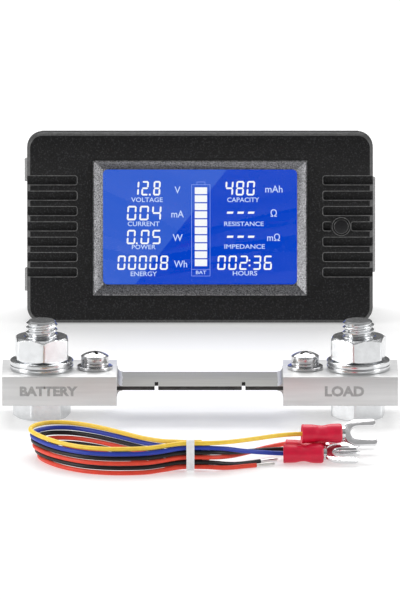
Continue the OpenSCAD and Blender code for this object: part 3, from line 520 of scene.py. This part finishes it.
def wire(name):
    """One insulated wire as a round tube, from its cut end beside the tie to its other end."""
    points = along(LEADS[name][0], 8)[::-1]
    data = bpy.data.curves.new(name + "_strand", "CURVE")
    data.dimensions = "3D"
    spline = data.splines.new("POLY")
    spline.points.add(len(points) - 1)
    for s, p in zip(spline.points, points):
        s.co = (*p, 1)
    spline.use_smooth = True
    data.bevel_depth = WIRE_R
    data.bevel_resolution = 4
    data.use_fill_caps = True
    o = linked(name + "_strand", data)
    data.materials.append(MATS[SLOT[name]])
    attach(o, "leads")
    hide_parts(name)
    return o, points


def sleeve(key):
    """Crimped vinyl sleeve: hollow belled mouth, flattened waist, full rear end."""
    r, l = SLEEVE_R, SLEEVE_L
    lip, rear, waist_at, shoulder_at = 0.32, l - 0.9, 5.0, 6.9
    outer = [(r - 0.62, 0.04), (r - 0.42, 0), (r - 0.2, 0.02), (r - 0.06, 0.12), (r - 0.01, lip)]
    for k in range(1, 24):
        x = lip + (rear - lip) * k / 24
        waist = 0.30 * math.exp(-((x - waist_at) / 1.7) ** 2)
        step = 0.07 / (1 + math.exp((x - shoulder_at) * 3.2))
        outer.append((r - 0.02 - waist - step, x))
    outer += [(r - 0.02, rear), (r - 0.06, l - 0.45), (r - 0.2, l - 0.18), (r - 0.42, l - 0.04),
              (r - 0.62, l)]
    inner = [(1.70, l), (1.70, 4.0), (0.66, 3.2), (0.72, 2.6), (r - 0.95, 1.7), (r - 0.78, 0.4)]
    n = len(outer + inner)
    verts, faces = lathe(outer + inner, 56)
    crimped = []
    for i, (x, y, z) in enumerate(verts):
        if i % n < len(outer):
            press = math.exp(-((z - waist_at) / 1.25) ** 4)
            a = math.atan2(y, x)
            flat = 1 - 0.10 * press * abs(math.sin(a)) ** 1.5
            wide = 1 + 0.02 * press * abs(math.cos(a)) ** 2
            dent = 1 - 0.05 * press * math.exp(-((math.sin(a) - 1) / 0.18) ** 2)
            x, y = x * wide, y * flat * dent
        crimped.append(Vector((z, x, y)) * MM)
    name = key + "_sleeve_moulded"
    mesh = mesh_from(name, crimped, faces)
    x, y, z, yaw, roll = SEATS[key]
    mesh.transform(Matrix.Translation((x * MM, LEAD_Y + y * MM, z * MM))
                   @ Matrix.Rotation(math.radians(yaw), 4, "Z")
                   @ Matrix.Rotation(math.radians(roll), 4, "X"))
    return stand_in(key + "_sleeve", name, mesh, 50)


def stub_rods():
    """Tinned conductor at every cut end, a little uneven, with a rounded tip."""
    rod_r, root, tip, stub_l, stripped_l = 0.4, 0.02, 0.12, 2.0, 5.0
    parts = bmesh.new()
    for route, key in LEADS.values():
        ends = [(route[-1], route[-2], stub_l)]
        if key is None:
            ends.append((route[0], route[1], stripped_l))
        for end, before, l in ends:
            end = Vector(end)
            out = (end - Vector(before)).normalized()
            spots = [root + (l - tip - root) * k / 10 for k in range(11)]
            waves = [noise.noise(Vector((s * 1.3, end.x, end.z))) for s in spots]
            radii = [min(rod_r * (1 - 0.05 * wave), rod_r) for wave in waves] + [0.3, 0.14]
            spots += [l - 0.05, l]
            line = [(end + out * s) * MM + Vector((0, LEAD_Y, 0)) for s in spots]
            rod = swept("rod", line, [r * MM for r in radii], 14)
            parts.from_mesh(rod)
            bpy.data.meshes.remove(rod)
    name = "tinned_ends_drawn"
    return stand_in("tinned_ends", name, mesh_of(parts, name), 50)


def rounded_block(bm, low, high, bevel):
    """A block with rounded edges between two corners."""
    low, high = Vector(low), Vector(high)
    verts = bmesh.ops.create_cube(bm, size=1)["verts"]
    for v in verts:
        v.co = (low + high) / 2 + v.co * (high - low)
    edges = list({e for v in verts for e in v.link_edges})
    bmesh.ops.bevel(bm, geom=edges, offset=bevel, segments=3, profile=0.6, affect="EDGES")


def tie():
    """Nylon tie: a thin band round both columns, with its lock, cut tail and teeth behind."""
    low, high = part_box("cable_tie")
    back = LEAD_Y + COLUMN_PITCH + WIRE_R + BAND_GAP + BAND_T
    ry, rz = (back - low.y) / 2, (high.z - low.z) / 2
    cy, cz = (back + low.y) / 2, (high.z + low.z) / 2
    t, w, edge, corner, steps = BAND_T, 2.0 * MM, 0.12 * MM, 0.95 * MM, 72
    dip = 0.05 * MM
    profile = [(-w / 2 + edge, 0), (-w / 2, edge), (-w / 2, t - edge), (-w / 2 + edge, t),
               (-w * 0.16, t), (-w * 0.14, t - dip), (w * 0.14, t - dip), (w * 0.16, t),
               (w / 2 - edge, t), (w / 2, t - edge), (w / 2, edge), (w / 2 - edge, 0)]
    bm = bmesh.new()
    rings = []
    for k in range(steps):
        a = 2 * math.pi * k / steps
        c, s = math.cos(a), math.sin(a)
        rings.append([])
        for dx, dt in profile:
            y = math.copysign(ry - t - corner, c) + (corner + dt) * c if abs(c) > 1e-9 else 0
            z = math.copysign(rz - t - corner, s) + (corner + dt) * s if abs(s) > 1e-9 else 0
            rings[-1].append(bm.verts.new((TIE_X + dx, cy + y, cz + z)))
    n = len(profile)
    for ring, after in zip(rings, rings[1:] + rings[:1]):
        for i in range(n):
            bm.faces.new((ring[i], ring[(i + 1) % n], after[(i + 1) % n], after[i]))
    # The lock, the stub of the tail that was cut off above it, and four teeth below it
    lock_z, lock_h = 2.4 * MM, 3 * MM
    rounded_block(bm, (TIE_X - 1.7 * MM, back - 0.05 * MM, lock_z),
                  (TIE_X + 1.7 * MM, high.y, lock_z + lock_h), 0.35 * MM)
    rounded_block(bm, (TIE_X - 0.9 * MM, back + 0.5 * MM, lock_z + lock_h - 0.3 * MM),
                  (TIE_X + 0.9 * MM, back + 1.1 * MM, lock_z + lock_h + 0.5 * MM), 0.12 * MM)
    for k in range(4):
        z = lock_z - 0.35 * MM - k * 0.42 * MM
        rounded_block(bm, (TIE_X - 0.6 * MM, back - 0.1 * MM, z),
                      (TIE_X + 0.6 * MM, back + 0.12 * MM, z + 0.2 * MM), 0.05 * MM)
    bmesh.ops.recalc_face_normals(bm, faces=bm.faces)
    name = "cable_tie_moulded"
    return stand_in("cable_tie", name, mesh_of(bm, name), 40)


def make_leads():
    lengths = {}
    for name, (_, key) in LEADS.items():
        o, points = wire(name)
        length = polyline_length(points)
        lengths[name] = length
        if key:
            pieces = [sleeve(key), softened(key + "_fork", 0.1 * MM, 2)]
    stub_rods()
    tie()
    return lengths


cord_lengths = make_leads()


# ---------------------------------------------------------------- shunt

def washer(node, r_in, r_out, edge, sides=96):
    """A turned washer with rounded edges, between its CAD node's faces."""
    c = middle(node)
    low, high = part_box(node)
    profile = []
    for r, z, start in ((r_out - edge, high.z - edge, 0), (r_in + edge, high.z - edge, 90),
                        (r_in + edge, low.z + edge, 180), (r_out - edge, low.z + edge, 270)):
        for k in range(4):
            a = math.radians(start + 90 * k / 3)
            profile.append((r + edge * math.cos(a), z + edge * math.sin(a)))
    name = node + "_turned"
    mesh = mesh_from(name, *lathe(profile, sides, (c.x, c.y, 0)))
    return stand_in(node, name, mesh, 45)


HEX_AF = 13 * MM
HEX_R = HEX_AF / 2 / math.cos(math.radians(30))
CHAMFER = (HEX_R - HEX_AF / 2) * math.tan(math.radians(30)) * 1.15


def hex_verts(centre, z0, h, turn, low, high, bore, sides=180):
    """Forged hexagon, chamfered at its low or high face, with a bore unless that is 0."""
    flat, corner = HEX_AF / 2, HEX_R - 0.10 * MM
    land, dulled, bore_edge, soft = 0.22 * MM, 0.06 * MM, 0.42 * MM, 0.07 * MM
    rows = [("bore", 0.45 * MM, bore)] if bore else []
    rows.append(("face", 0.0, flat - land if low else None))
    rows += [("side", CHAMFER * k / 5, None) for k in range(6)]
    rows += [("side", CHAMFER + (h - 2 * CHAMFER) * k / 5, None) for k in range(1, 5)]
    rows += [("side", h - CHAMFER + CHAMFER * k / 5, None) for k in range(6)]
    rows.append(("face", h, flat - land if high else None))
    if bore:
        rows += [("bore", h, bore + bore_edge), ("bore", h - bore_edge, bore)]
    verts, faces = [], []
    for s in range(sides):
        a = 2 * math.pi * s / sides
        rel = (a - math.radians(turn)) % math.radians(60) - math.radians(30)
        hexagon = min(flat / math.cos(rel), corner)
        for kind, z, r in rows:
            if kind == "side":
                cone = math.inf
                if low and z < CHAMFER:
                    cone = flat - dulled + (HEX_R - flat) * z / CHAMFER
                if high and z > h - CHAMFER:
                    cone = flat - dulled + (HEX_R - flat) * (h - z) / CHAMFER
                near = max(0, soft - abs(hexagon - cone))
                r = min(hexagon, cone) - near ** 2 / (4 * soft)
            elif r is None:
                r = hexagon - 0.12 * MM
            verts.append((centre[0] + r * math.cos(a), centre[1] + r * math.sin(a), z0 + z))
    n = len(rows)
    for s in range(sides):
        s2 = (s + 1) % sides
        for i in range(n - 1):
            faces.append((s * n + i, s2 * n + i, s2 * n + i + 1, s * n + i + 1))
        if bore:
            faces.append((s * n + n - 1, s2 * n + n - 1, s2 * n, s * n))
    if not bore:
        faces.append(tuple(s * n for s in range(sides))[::-1])
        faces.append(tuple(s * n + n - 1 for s in range(sides)))
    return verts, faces


def thread_verts(centre, r, pitch, depth, z0, z1, tip, sides=48):
    """A real helical thread from z0 to z1 with a chamfered tip."""
    shape = [0, 0, 0.5, 1, 1, 0.5]
    m = len(shape)
    rows = int((z1 - z0) / pitch * m) + 2 * m
    verts, faces = [], []
    for s in range(sides):
        a = 2 * math.pi * s / sides
        for k in range(-m, rows):
            z = z0 + pitch * (k / m + s / sides)
            zc = min(max(z, z0), z1)
            rr = r - depth * shape[k % m]
            rr = min(rr, r - tip + (z1 - zc))
            verts.append((centre[0] + rr * math.cos(a), centre[1] + rr * math.sin(a), zc))
    n = rows + m
    for s in range(sides):
        s2 = (s + 1) % sides
        shift = m if s == sides - 1 else 0
        for i in range(n - 1 - shift):
            j = i + shift
            faces.append((s * n + i, s2 * n + j, s2 * n + j + 1, s * n + i + 1))
    return verts, faces


def capped(name, verts, faces):
    """A mesh from those faces, with doubles merged and open rims filled."""
    bm = bmesh.new()
    vs = [bm.verts.new(v) for v in verts]
    for f in faces:
        if len(set(f)) > 2:
            try:
                bm.faces.new([vs[i] for i in f])
            except ValueError:
                pass
    bmesh.ops.remove_doubles(bm, verts=bm.verts, dist=2e-6)
    bmesh.ops.dissolve_degenerate(bm, edges=bm.edges, dist=1e-7)
    loose = [v for v in bm.verts if not v.link_faces]
    bmesh.ops.delete(bm, geom=loose, context="VERTS")
    rims = [e for e in bm.edges if len(e.link_faces) == 1]
    if rims:
        bmesh.ops.holes_fill(bm, edges=rims, sides=0)
    bmesh.ops.recalc_face_normals(bm, faces=bm.faces)
    mesh = bpy.data.meshes.new(name)
    bm.to_mesh(mesh)
    bm.free()
    return mesh


def stud_axis(node):
    return math.copysign(BOLT_X, middle(node).x), SHUNT_Y


def bolt(node, turn):
    """Hexagon head, plain shank through the block, and the rolled thread above it."""
    low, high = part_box(node)
    axis = stud_axis(node)
    core, shank_r, shank_low, shank_high = 0.2 * MM, 3.98 * MM, 4.5 * MM, 11.1 * MM
    parts = (
        capped("head", *hex_verts(axis, low.z, 4.8 * MM, turn, True, False, 0)),
        mesh_from("shank", *lathe([(core, shank_low), (shank_r, shank_low), (shank_r, shank_high),
                                   (core, shank_high)], 64, (*axis, low.z))),
        capped("stud", *thread_verts(axis, 4 * MM, 1.25 * MM, 0.62 * MM, 11 * MM, high.z,
                                     0.75 * MM)),
    )
    bm = bmesh.new()
    for part in parts:
        bm.from_mesh(part)
        bpy.data.meshes.remove(part)
    name = node + "_rolled"
    return stand_in(node, name, mesh_of(bm, name), 30)


def nut(node, turn):
    low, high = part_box(node)
    name = node + "_forged"
    verts, faces = hex_verts(stud_axis(node), low.z, high.z - low.z, turn, True, True, 4.05 * MM)
    return stand_in(node, name, capped(name, verts, faces), 26)


def fillets(node):
    """Solder fillets: the CAD's concave fillets, uneven along the joint as wiped solder is."""
    bm = merged(node, 1)
    bmesh.ops.triangulate(bm, faces=bm.faces)
    for _ in range(40):
        far = [e for e in bm.edges if e.calc_length() > 0.5 * MM]
        if not far:
            break
        bmesh.ops.subdivide_edges(bm, edges=far, cuts=1)
        bmesh.ops.triangulate(bm, faces=[f for f in bm.faces if len(f.verts) > 3])
    low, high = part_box(node)
    side = math.copysign(1, middle(node).x)
    wall_x = high.x if side > 0 else low.x
    for v in bm.verts:
        gap = abs(v.co.x - wall_x)
        wave = noise.noise(Vector((v.co.y * 420, v.co.z * 150, side * 3))) * 0.5 + 0.5
        if gap > 0.15 * MM:
            v.co.x += side * wave * 0.45 * MM * min(1, gap / (0.8 * MM))
    bmesh.ops.recalc_face_normals(bm, faces=bm.faces)
    name = node + "_wiped"
    return stand_in(node, name, mesh_of(bm, name), 45)


def words(name, text, size, body, matrix, material, bold, squeeze):
    """Plain generic lettering as a flat mesh, in the matrix's XY plane."""
    data = bpy.data.curves.new(name, "FONT")
    data.body = text
    data.size = size
    data.align_x = "CENTER"
    data.align_y = "CENTER"
    data.offset = bold
    data.resolution_u = 3
    o = linked(name, data)
    mesh = bpy.data.meshes.new_from_object(
        o.evaluated_get(bpy.context.evaluated_depsgraph_get()))
    bpy.data.objects.remove(o)
    mesh.transform(matrix @ Matrix.Diagonal((squeeze, 1, 1, 1)))
    made = new_object(name, mesh, body, smooth=False)
    made.data.materials.clear()
    made.data.materials.append(material)


def sense_screw(node):
    """A screw whose recess walls are dark steel: painted shade in the recess."""
    screw = softened(node, 0.1 * MM, 2)
    # Painted shade: the walls of the cross recess get a dark steel
    dark = metal(node.replace("_sense_screw", "_recess_shade"), grey(0.10), 0.4, 2500, 0.3)
    screw.data.materials.append(dark)
    axis, top = middle(node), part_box(node)[1].z
    for p in screw.data.polygons:
        near = math.hypot(p.center.x - axis.x, p.center.y - axis.y) < 2.1 * MM
        if near and p.center.z > top - 2.2 * MM and abs(p.normal.z) < 0.6:
            p.material_index = 1


def resistor_strip():
    """The strip between the blocks, with darker faces on its cut edges at front and back."""
    strip = softened("resistor_strip", 0.08 * MM, 2)
    strip.data.materials.append(dark_edge_metal("dark_cut_edge"))
    # Faces looking straight to the front or back get the darker metal
    for p in strip.data.polygons:
        if abs(p.normal.y) > 0.8:
            p.material_index = 1


def block_marks():
    """The word on each block's front face, which says what that end goes to."""
    low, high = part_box("left_block")
    y, z = low.y - 0.004 * MM, (low.z + high.z) / 2 - 0.1 * MM
    upright = Matrix.Rotation(math.pi / 2, 4, "X")
    mark = engraved("laser_mark")
    for name, text, x, size in (("left_mark", "BATTERY", -38.4, 3.2),
                                ("right_mark", "LOAD", 36.4, 3.4)):
        words(name, text, size * MM, "shunt", Matrix.Translation((x * MM, y, z)) @ upright,
              mark, 0.16 * MM, 1.08)


def make_shunt():
    for side in ("left", "right"):
        softened(side + "_block", 0.32 * MM, 4)
        fillets(side + "_solder")
        for layer in ("lower", "upper"):
            washer(f"{side}_{layer}_washer", 4.3 * MM, 8 * MM, 0.22 * MM)
        washer(side + "_sense_washer", 2.3 * MM, 4.5 * MM, 0.16 * MM)
        softened(side + "_sense_spring_washer", 0.1 * MM, 2)
        sense_screw(side + "_sense_screw")
    resistor_strip()
    bolt("left_bolt", 10)
    bolt("right_bolt", 24)
    nut("left_nut", 34)
    nut("right_nut", 21)
    block_marks()


make_shunt()


# ---------------------------------------------------------------- display

# In the display's own millimetres: x from its middle, y back from the bezel's back, z up from its foot
FACE = -4.4
GLASS = -0.6
MID_Z = 24.8
BUTTON_X = 36.6
GROOVE_PITCH, GROOVE_H, GROOVE_R = 4, 2.2, 0.5
GROOVE_IN, GROOVE_OUT = 31.9, 44.0
SHORT_GROOVE_END, OUTER_GROOVE_START = 34.0, 39.25
LCD_Y = GLASS - 0.03


def on_display(x, y, z):
    return DISPLAY @ Vector((x * MM, y * MM, z * MM))


def display_piece(name, verts, faces, material):
    mesh = mesh_from(name, [on_display(*v) for v in verts], faces)
    o = new_object(name, mesh, "display", smooth=False)
    o.data.materials.clear()
    o.data.materials.append(material)
    return o


def lit_display(name):
    """Blue backlit face with a painted reflection: a lighter glare haze over its upper left, up to a
    slanting edge.
    """
    m, tree, b = shader(name, (0.001, 0.002, 0.01), 0.4, spec=0.0)
    b.inputs["Emission Strength"].default_value = 1.0
    # The painted glare's slanting edge runs through these two points on the glass
    top, foot = on_display(7.03, GLASS, 39.68), on_display(-16.67, GLASS, 9.80)
    glare_across = Vector((foot.z - top.z, 0, top.x - foot.x)).normalized()
    coord = tree.nodes.new("ShaderNodeTexCoord")
    dot = tree.nodes.new("ShaderNodeVectorMath")
    dot.operation = "DOT_PRODUCT"
    dot.inputs[1].default_value = glare_across
    edge = tree.nodes.new("ShaderNodeMapRange")
    edge.inputs["From Min"].default_value = glare_across.dot(top) - 0.12 * MM
    edge.inputs["From Max"].default_value = glare_across.dot(top) + 0.12 * MM
    ramp = tree.nodes.new("ShaderNodeValToRGB")
    # Painted reflection: the first colour is the plain backlight, the second the lighter glare
    ramp.color_ramp.elements[0].color = (0.0, 0.055, 0.58, 1)
    ramp.color_ramp.elements[1].color = (0.032, 0.115, 0.63, 1)
    tree.links.new(coord.outputs["Object"], dot.inputs[0])
    tree.links.new(dot.outputs["Value"], edge.inputs["Value"])
    tree.links.new(edge.outputs["Result"], ramp.inputs["Fac"])
    tree.links.new(ramp.outputs["Color"], b.inputs["Emission Color"])
    return m


lit_display("lcd")

SEG = {"0": "abcdef", "1": "bc", "2": "abged", "3": "abgcd", "4": "fgbc", "5": "afgcd",
       "6": "afgedc", "7": "abc", "8": "abcdefg", "9": "abcdfg"}
SLANT = 0.06
# Each number with its left, right, foot and top
FIGURES = (
    ("12.8", -17.71, -10.34, 32.84, 36.62), ("004", -18.99, -10.15, 26.37, 30.17),
    ("0.05", -19.04, -10.27, 20.15, 23.90), ("00008", -21.46, -8.38, 13.46, 17.21),
    ("480", 6.46, 14.09, 32.84, 36.62), ("002:36", 4.42, 18.57, 13.46, 17.21),
)
# Each legend with the middle of its place, its size and how far it is widened
LEGEND_PLACES = (
    ("V", -5.82, 34.18, 2.57, 0.95), ("mA", -5.87, 27.92, 2.57, 0.9),
    ("W", -5.77, 21.75, 2.57, 0.95), ("Wh", -4.96, 14.91, 2.53, 0.9),
    ("mAh", 19.16, 34.42, 2.57, 0.95), ("Ω", 19.11, 28.11, 2.57, 0.95),
    ("mΩ", 19.06, 21.80, 2.57, 0.9), ("VOLTAGE", -13.69, 31.67, 1.68, 1.1),
    ("CURRENT", -14.63, 25.39, 1.68, 1.1), ("POWER", -14.63, 19.36, 1.63, 1.1),
    ("ENERGY", -14.63, 12.36, 1.68, 1.1), ("CAPACITY", 11.15, 31.65, 1.68, 1.05),
    ("RESISTANCE", 11.34, 25.39, 1.63, 1.15), ("IMPEDANCE", 11.53, 19.48, 1.63, 1.2),
    ("HOURS", 11.62, 12.52, 1.63, 1.2), ("BAT", 0.25, 12.76, 1.26, 1.2),
)
# Battery gauge: outline, the terminal on its top, and ten bars hung from the uppermost
GAUGE = {"left": -2.22, "right": 2.67, "foot": 11.81, "top": 35.71, "divider": 13.53}
GAUGE_TERMINAL = {"left": -0.84, "right": 1.34, "top": 36.43}
BAR = {"left": -1.34, "right": 1.86, "top": 34.97, "height": 1.77, "pitch": 2.085, "count": 10}
DASH = {"left": 6.93, "width": 1.62, "height": 0.57, "pitch": 2.725, "count": 3}
DASH_ROWS = (28.09, 21.82)


def add_face(out, points):
    """Adds a flat face through (x, z) points just in front of the glass."""
    verts, faces = out
    faces.append(tuple(range(len(verts), len(verts) + len(points))))
    verts.extend((x, LCD_Y, z) for x, z in points)


def rect(out, x0, x1, z0, z1, slant=0.0):
    add_face(out, [(x0, z0), (x1, z0), (x1 + slant, z1), (x0 + slant, z1)])


def segments(out, figure, x, z, w, h, t):
    """One seven-segment figure with its lower left corner at x, z."""
    r, half = t / 2, h / 2
    inset = t * 0.12 + r * 0.4
    level = {"a": h, "g": half, "d": 0}
    upright = {"f": (0, half), "b": (w, half), "e": (0, 0), "c": (w, 0)}
    for s in SEG[figure]:
        if s in level:
            c = min(max(level[s], r), h - r)
            a, b = inset, w - inset
            points = [(a, c), (a + r, c + r), (b - r, c + r), (b, c), (b - r, c - r),
                      (a + r, c - r)]
        else:
            at, foot = upright[s]
            c = min(max(at, r), w - r)
            a, b = foot + inset, foot + half - inset
            points = [(c, a), (c - r, a + r), (c - r, b - r), (c, b), (c + r, b - r),
                      (c + r, a + r)]
        add_face(out, [(x + px + pz * SLANT, z + pz) for px, pz in points])


def number(out, text, x0, x1, z0, z1):
    """Seven-segment figures that fill that rectangle of the display."""
    h = z1 - z0
    points = sum(c not in SEG for c in text)
    digits = len(text) - points
    gap, point_w, t = 0.34, 0.16 * h, 0.12 * h
    w = (x1 - x0 - points * point_w) / (digits + gap * (digits - 1))
    x = x0
    for c in text:
        if c in SEG:
            segments(out, c, x, z0, w, h, t)
            x += w * (1 + gap)
            continue
        back, rises = (0.24 * w, (0,)) if c == "." else (0.18 * w, (0.25, 0.6))
        for rise in rises:
            rect(out, x - back, x - back + t, z0 + h * rise, z0 + h * rise + t)
        x += point_w


def lcd_figures():
    out = [], []
    for figure in FIGURES:
        number(out, *figure)
    for z in DASH_ROWS:
        for k in range(DASH["count"]):
            x = DASH["left"] + k * DASH["pitch"]
            rect(out, x, x + DASH["width"], z, z + DASH["height"], 0.15)
    for k in range(BAR["count"]):
        top = BAR["top"] - k * BAR["pitch"]
        rect(out, BAR["left"], BAR["right"], top - BAR["height"], top)
    display_piece("lit_figures", *out, SEGMENTS)


def gauge_outline():
    """Outline of the battery gauge, fainter than its bars."""
    out, line = ([], []), 0.12
    a, b, foot, top, divider = GAUGE.values()
    rect(out, a, b, top - line, top)
    rect(out, a, b, foot, foot + line)
    rect(out, a, a + line, foot + line, top - line)
    rect(out, b - line, b, foot + line, top - line)
    rect(out, a + line, b - line, divider, divider + line)
    a, b, tip = GAUGE_TERMINAL.values()
    rect(out, a, b, tip - line, tip)
    rect(out, a, a + line, top, tip - line)
    rect(out, b - line, b, top, tip - line)
    display_piece("gauge_outline", *out, FAINT)


def lcd_legends():
    flat = DISPLAY @ Matrix.Rotation(math.pi / 2, 4, "X")
    for i, (text, x, z, size, squeeze) in enumerate(LEGEND_PLACES):
        place = flat @ Matrix.Translation((x * MM, z * MM, -LCD_Y * MM))
        words(f"lit_legend_{i}", text, size * MM, "display", place, LEGENDS, 0.022 * MM, squeeze)


def groove_highlight_bands():
    """Thin flat bands of lighter plastic round the open end of each grip groove and round the button:
    a painted highlight on their rims.
    """
    rim_w, half, mid_z = 0.2, GROOVE_H / 2, MID_Z + 0.4
    verts, faces = [], []

    def band(inner, outer, y):
        k = len(verts)
        for (xi, zi), (xo, zo) in zip(inner, outer):
            verts.extend(((xi, y, zi), (xo, y, zo)))
        for i in range(k, k + 2 * len(inner) - 2, 2):
            faces.append((i, i + 1, i + 3, i + 2))

    def outline(side, x_in, x_out, z, grow):
        points = [(side * x_out, z + half + grow)]
        for end, start in ((1, 90), (-1, 180)):
            for step in range(7):
                a = math.radians(start + 15 * step)
                points.append((side * (x_in + GROOVE_R + (GROOVE_R + grow) * math.cos(a)),
                               z + end * (half - GROOVE_R) + (GROOVE_R + grow) * math.sin(a)))
        points.append((side * x_out, z - half - grow))
        return points

    for side in (-1, 1):
        for i in range(-3, 4):
            spans = [(GROOVE_IN, GROOVE_OUT)]
            if side > 0 and i == 0:
                spans = [(GROOVE_IN, SHORT_GROOVE_END), (OUTER_GROOVE_START, GROOVE_OUT)]
            for x_in, x_out in spans:
                inner, outer = [outline(side, x_in, x_out, mid_z + GROOVE_PITCH * i, grow)
                                for grow in (0, rim_w)]
                band(inner, outer, FACE - 0.012)
    ring = [[(BUTTON_X + r * math.cos(math.radians(6 * k)), mid_z + r * math.sin(math.radians(6 * k)))
             for k in range(61)] for r in (2.27, 2.43)]
    band(*ring, FACE - 0.412)
    # The bands' lighter colour is a painted highlight
    display_piece("groove_highlight_bands", verts, faces, painted_highlight_plastic("groove_highlight", 0.11))


# How far each of the display's CAD pieces has its edges rounded, in millimetres
EDGE_WIDTHS = {
    "front_bezel": 0.24, "window_trim": 0.04, "window_lens": 0.05, "lcd_glass": 0.05,
    "backlight": 0.15, "lcd_pins": 0.05, "main_pcb": 0.05, "mcu_chip": 0.06,
    "pcb_components": 0.12, "tact_switch": 0.12, "button": 0.22, "rear_housing": 0.14,
    "case_screws": 0.08, "left_panel_clip": 0.12, "right_panel_clip": 0.12,
    "terminal_block": 0.15, **{f"terminal_screw_{k}": 0.08 for k in range(1, 5)},
}


def make_display():
    rim = painted_highlight_plastic("bezel_rim_highlight", 0.05)
    facing = (DISPLAY.to_3x3() @ Vector((0, -1, 0))).normalized()
    for node, width in EDGE_WIDTHS.items():
        o = softened(node, width * MM)
        # Sloping bevel faces of the bezel and button get the glossier plastic, whose lighter colour is
        # a painted highlight
        if node in ("front_bezel", "button"):
            o.data.materials.append(rim)
            for p in o.data.polygons:
                if 0.3 < p.normal.dot(facing) < 0.97:
                    p.material_index = 1
    groove_highlight_bands()
    lcd_figures()
    gauge_outline()
    lcd_legends()


make_display()


# ---------------------------------------------------------------- floor, light and world

def grey_range(tree, low, high, top):
    """Map Range from low..high to 0..top."""
    span = tree.nodes.new("ShaderNodeMapRange")
    span.inputs["From Min"].default_value = low
    span.inputs["From Max"].default_value = high
    span.inputs["To Max"].default_value = top
    return span


def colour_mix(tree, kind, factor=None):
    mix = tree.nodes.new("ShaderNodeMix")
    mix.data_type = "RGBA"
    mix.blend_type = kind
    if factor is not None:
        mix.inputs["Factor"].default_value = factor
    return mix


def make_world():
    """White to the camera; else grey bands by height, brighter towards both sides."""
    world = bpy.data.worlds.new("studio")
    bpy.context.scene.world = world
    world.use_nodes = True
    tree = world.node_tree
    coord = tree.nodes.new("ShaderNodeTexCoord")
    split = tree.nodes.new("ShaderNodeSeparateXYZ")
    height = grey_range(tree, -1, 1, 1)
    bands = tree.nodes.new("ShaderNodeValToRGB")
    ramp = bands.color_ramp
    ramp.elements[0].position, ramp.elements[0].color = 0.42, (*grey(0.20), 1)
    ramp.elements[1].position, ramp.elements[1].color = 1.0, (*grey(0.45), 1)
    for place, value in ((0.485, 0.04), (0.53, 0.04), (0.62, 0.12), (0.76, 0.30)):
        ramp.elements.new(place).color = (*grey(value), 1)
    aside = tree.nodes.new("ShaderNodeMath")
    aside.operation = "ABSOLUTE"
    sides = grey_range(tree, 0.60, 0.92, 0.8)
    total = colour_mix(tree, "ADD", 1.0)
    path = tree.nodes.new("ShaderNodeLightPath")
    seen = colour_mix(tree, "MIX")
    seen.inputs["B"].default_value = (*grey(1), 1)
    back = tree.nodes["Background"]
    for out, into in (
            (coord.outputs["Generated"], split.inputs["Vector"]),
            (split.outputs["Z"], height.inputs["Value"]),
            (height.outputs["Result"], bands.inputs["Fac"]),
            (split.outputs["X"], aside.inputs[0]),
            (aside.outputs["Value"], sides.inputs["Value"]),
            (bands.outputs["Color"], total.inputs["A"]),
            (sides.outputs["Result"], total.inputs["B"]),
            (path.outputs["Is Camera Ray"], seen.inputs["Factor"]),
            (total.outputs["Result"], seen.inputs["A"]),
            (seen.outputs["Result"], back.inputs["Color"])):
        tree.links.new(out, into)
    back.inputs["Strength"].default_value = 1.0


def make_floor():
    bm = bmesh.new()
    bmesh.ops.create_grid(bm, x_segments=8, y_segments=8, size=0.8)
    floor = linked("floor", mesh_of(bm, "floor"))
    floor.location = (0, 0.3, -0.00002)
    m, _, b = shader("floor", grey(0.65), 0.34, spec=0.1)
    b.inputs["Emission Color"].default_value = (*grey(1), 1)
    b.inputs["Emission Strength"].default_value = 0.40
    floor.data.materials.append(m)


def area_light(name, place, aim, size_x, size_y, power):
    data = bpy.data.lights.new(name, "AREA")
    data.shape = "RECTANGLE"
    data.size, data.size_y = size_x, size_y
    data.energy = power
    o = linked(name, data)
    o.location = place
    o.rotation_euler = (Vector(aim) - Vector(place)).to_track_quat("-Z", "Y").to_euler()
    o.visible_camera = False


bpy.context.scene.view_settings.view_transform = "Standard"
make_world()
make_floor()
area_light("light_above", (0.0, 0.5, 0.8), (0, -0.04, 0), 0.9, 0.6, 8.2)
area_light("light_left", (-0.85, -0.35, 0.32), (0, 0, 0.02), 0.45, 0.5, 3.4)
area_light("light_right", (0.85, -0.3, 0.3), (0, 0, 0.02), 0.35, 0.5, 2.0)

print("CORDS", {k: round(v * 1000, 1) for k, v in cord_lengths.items()})
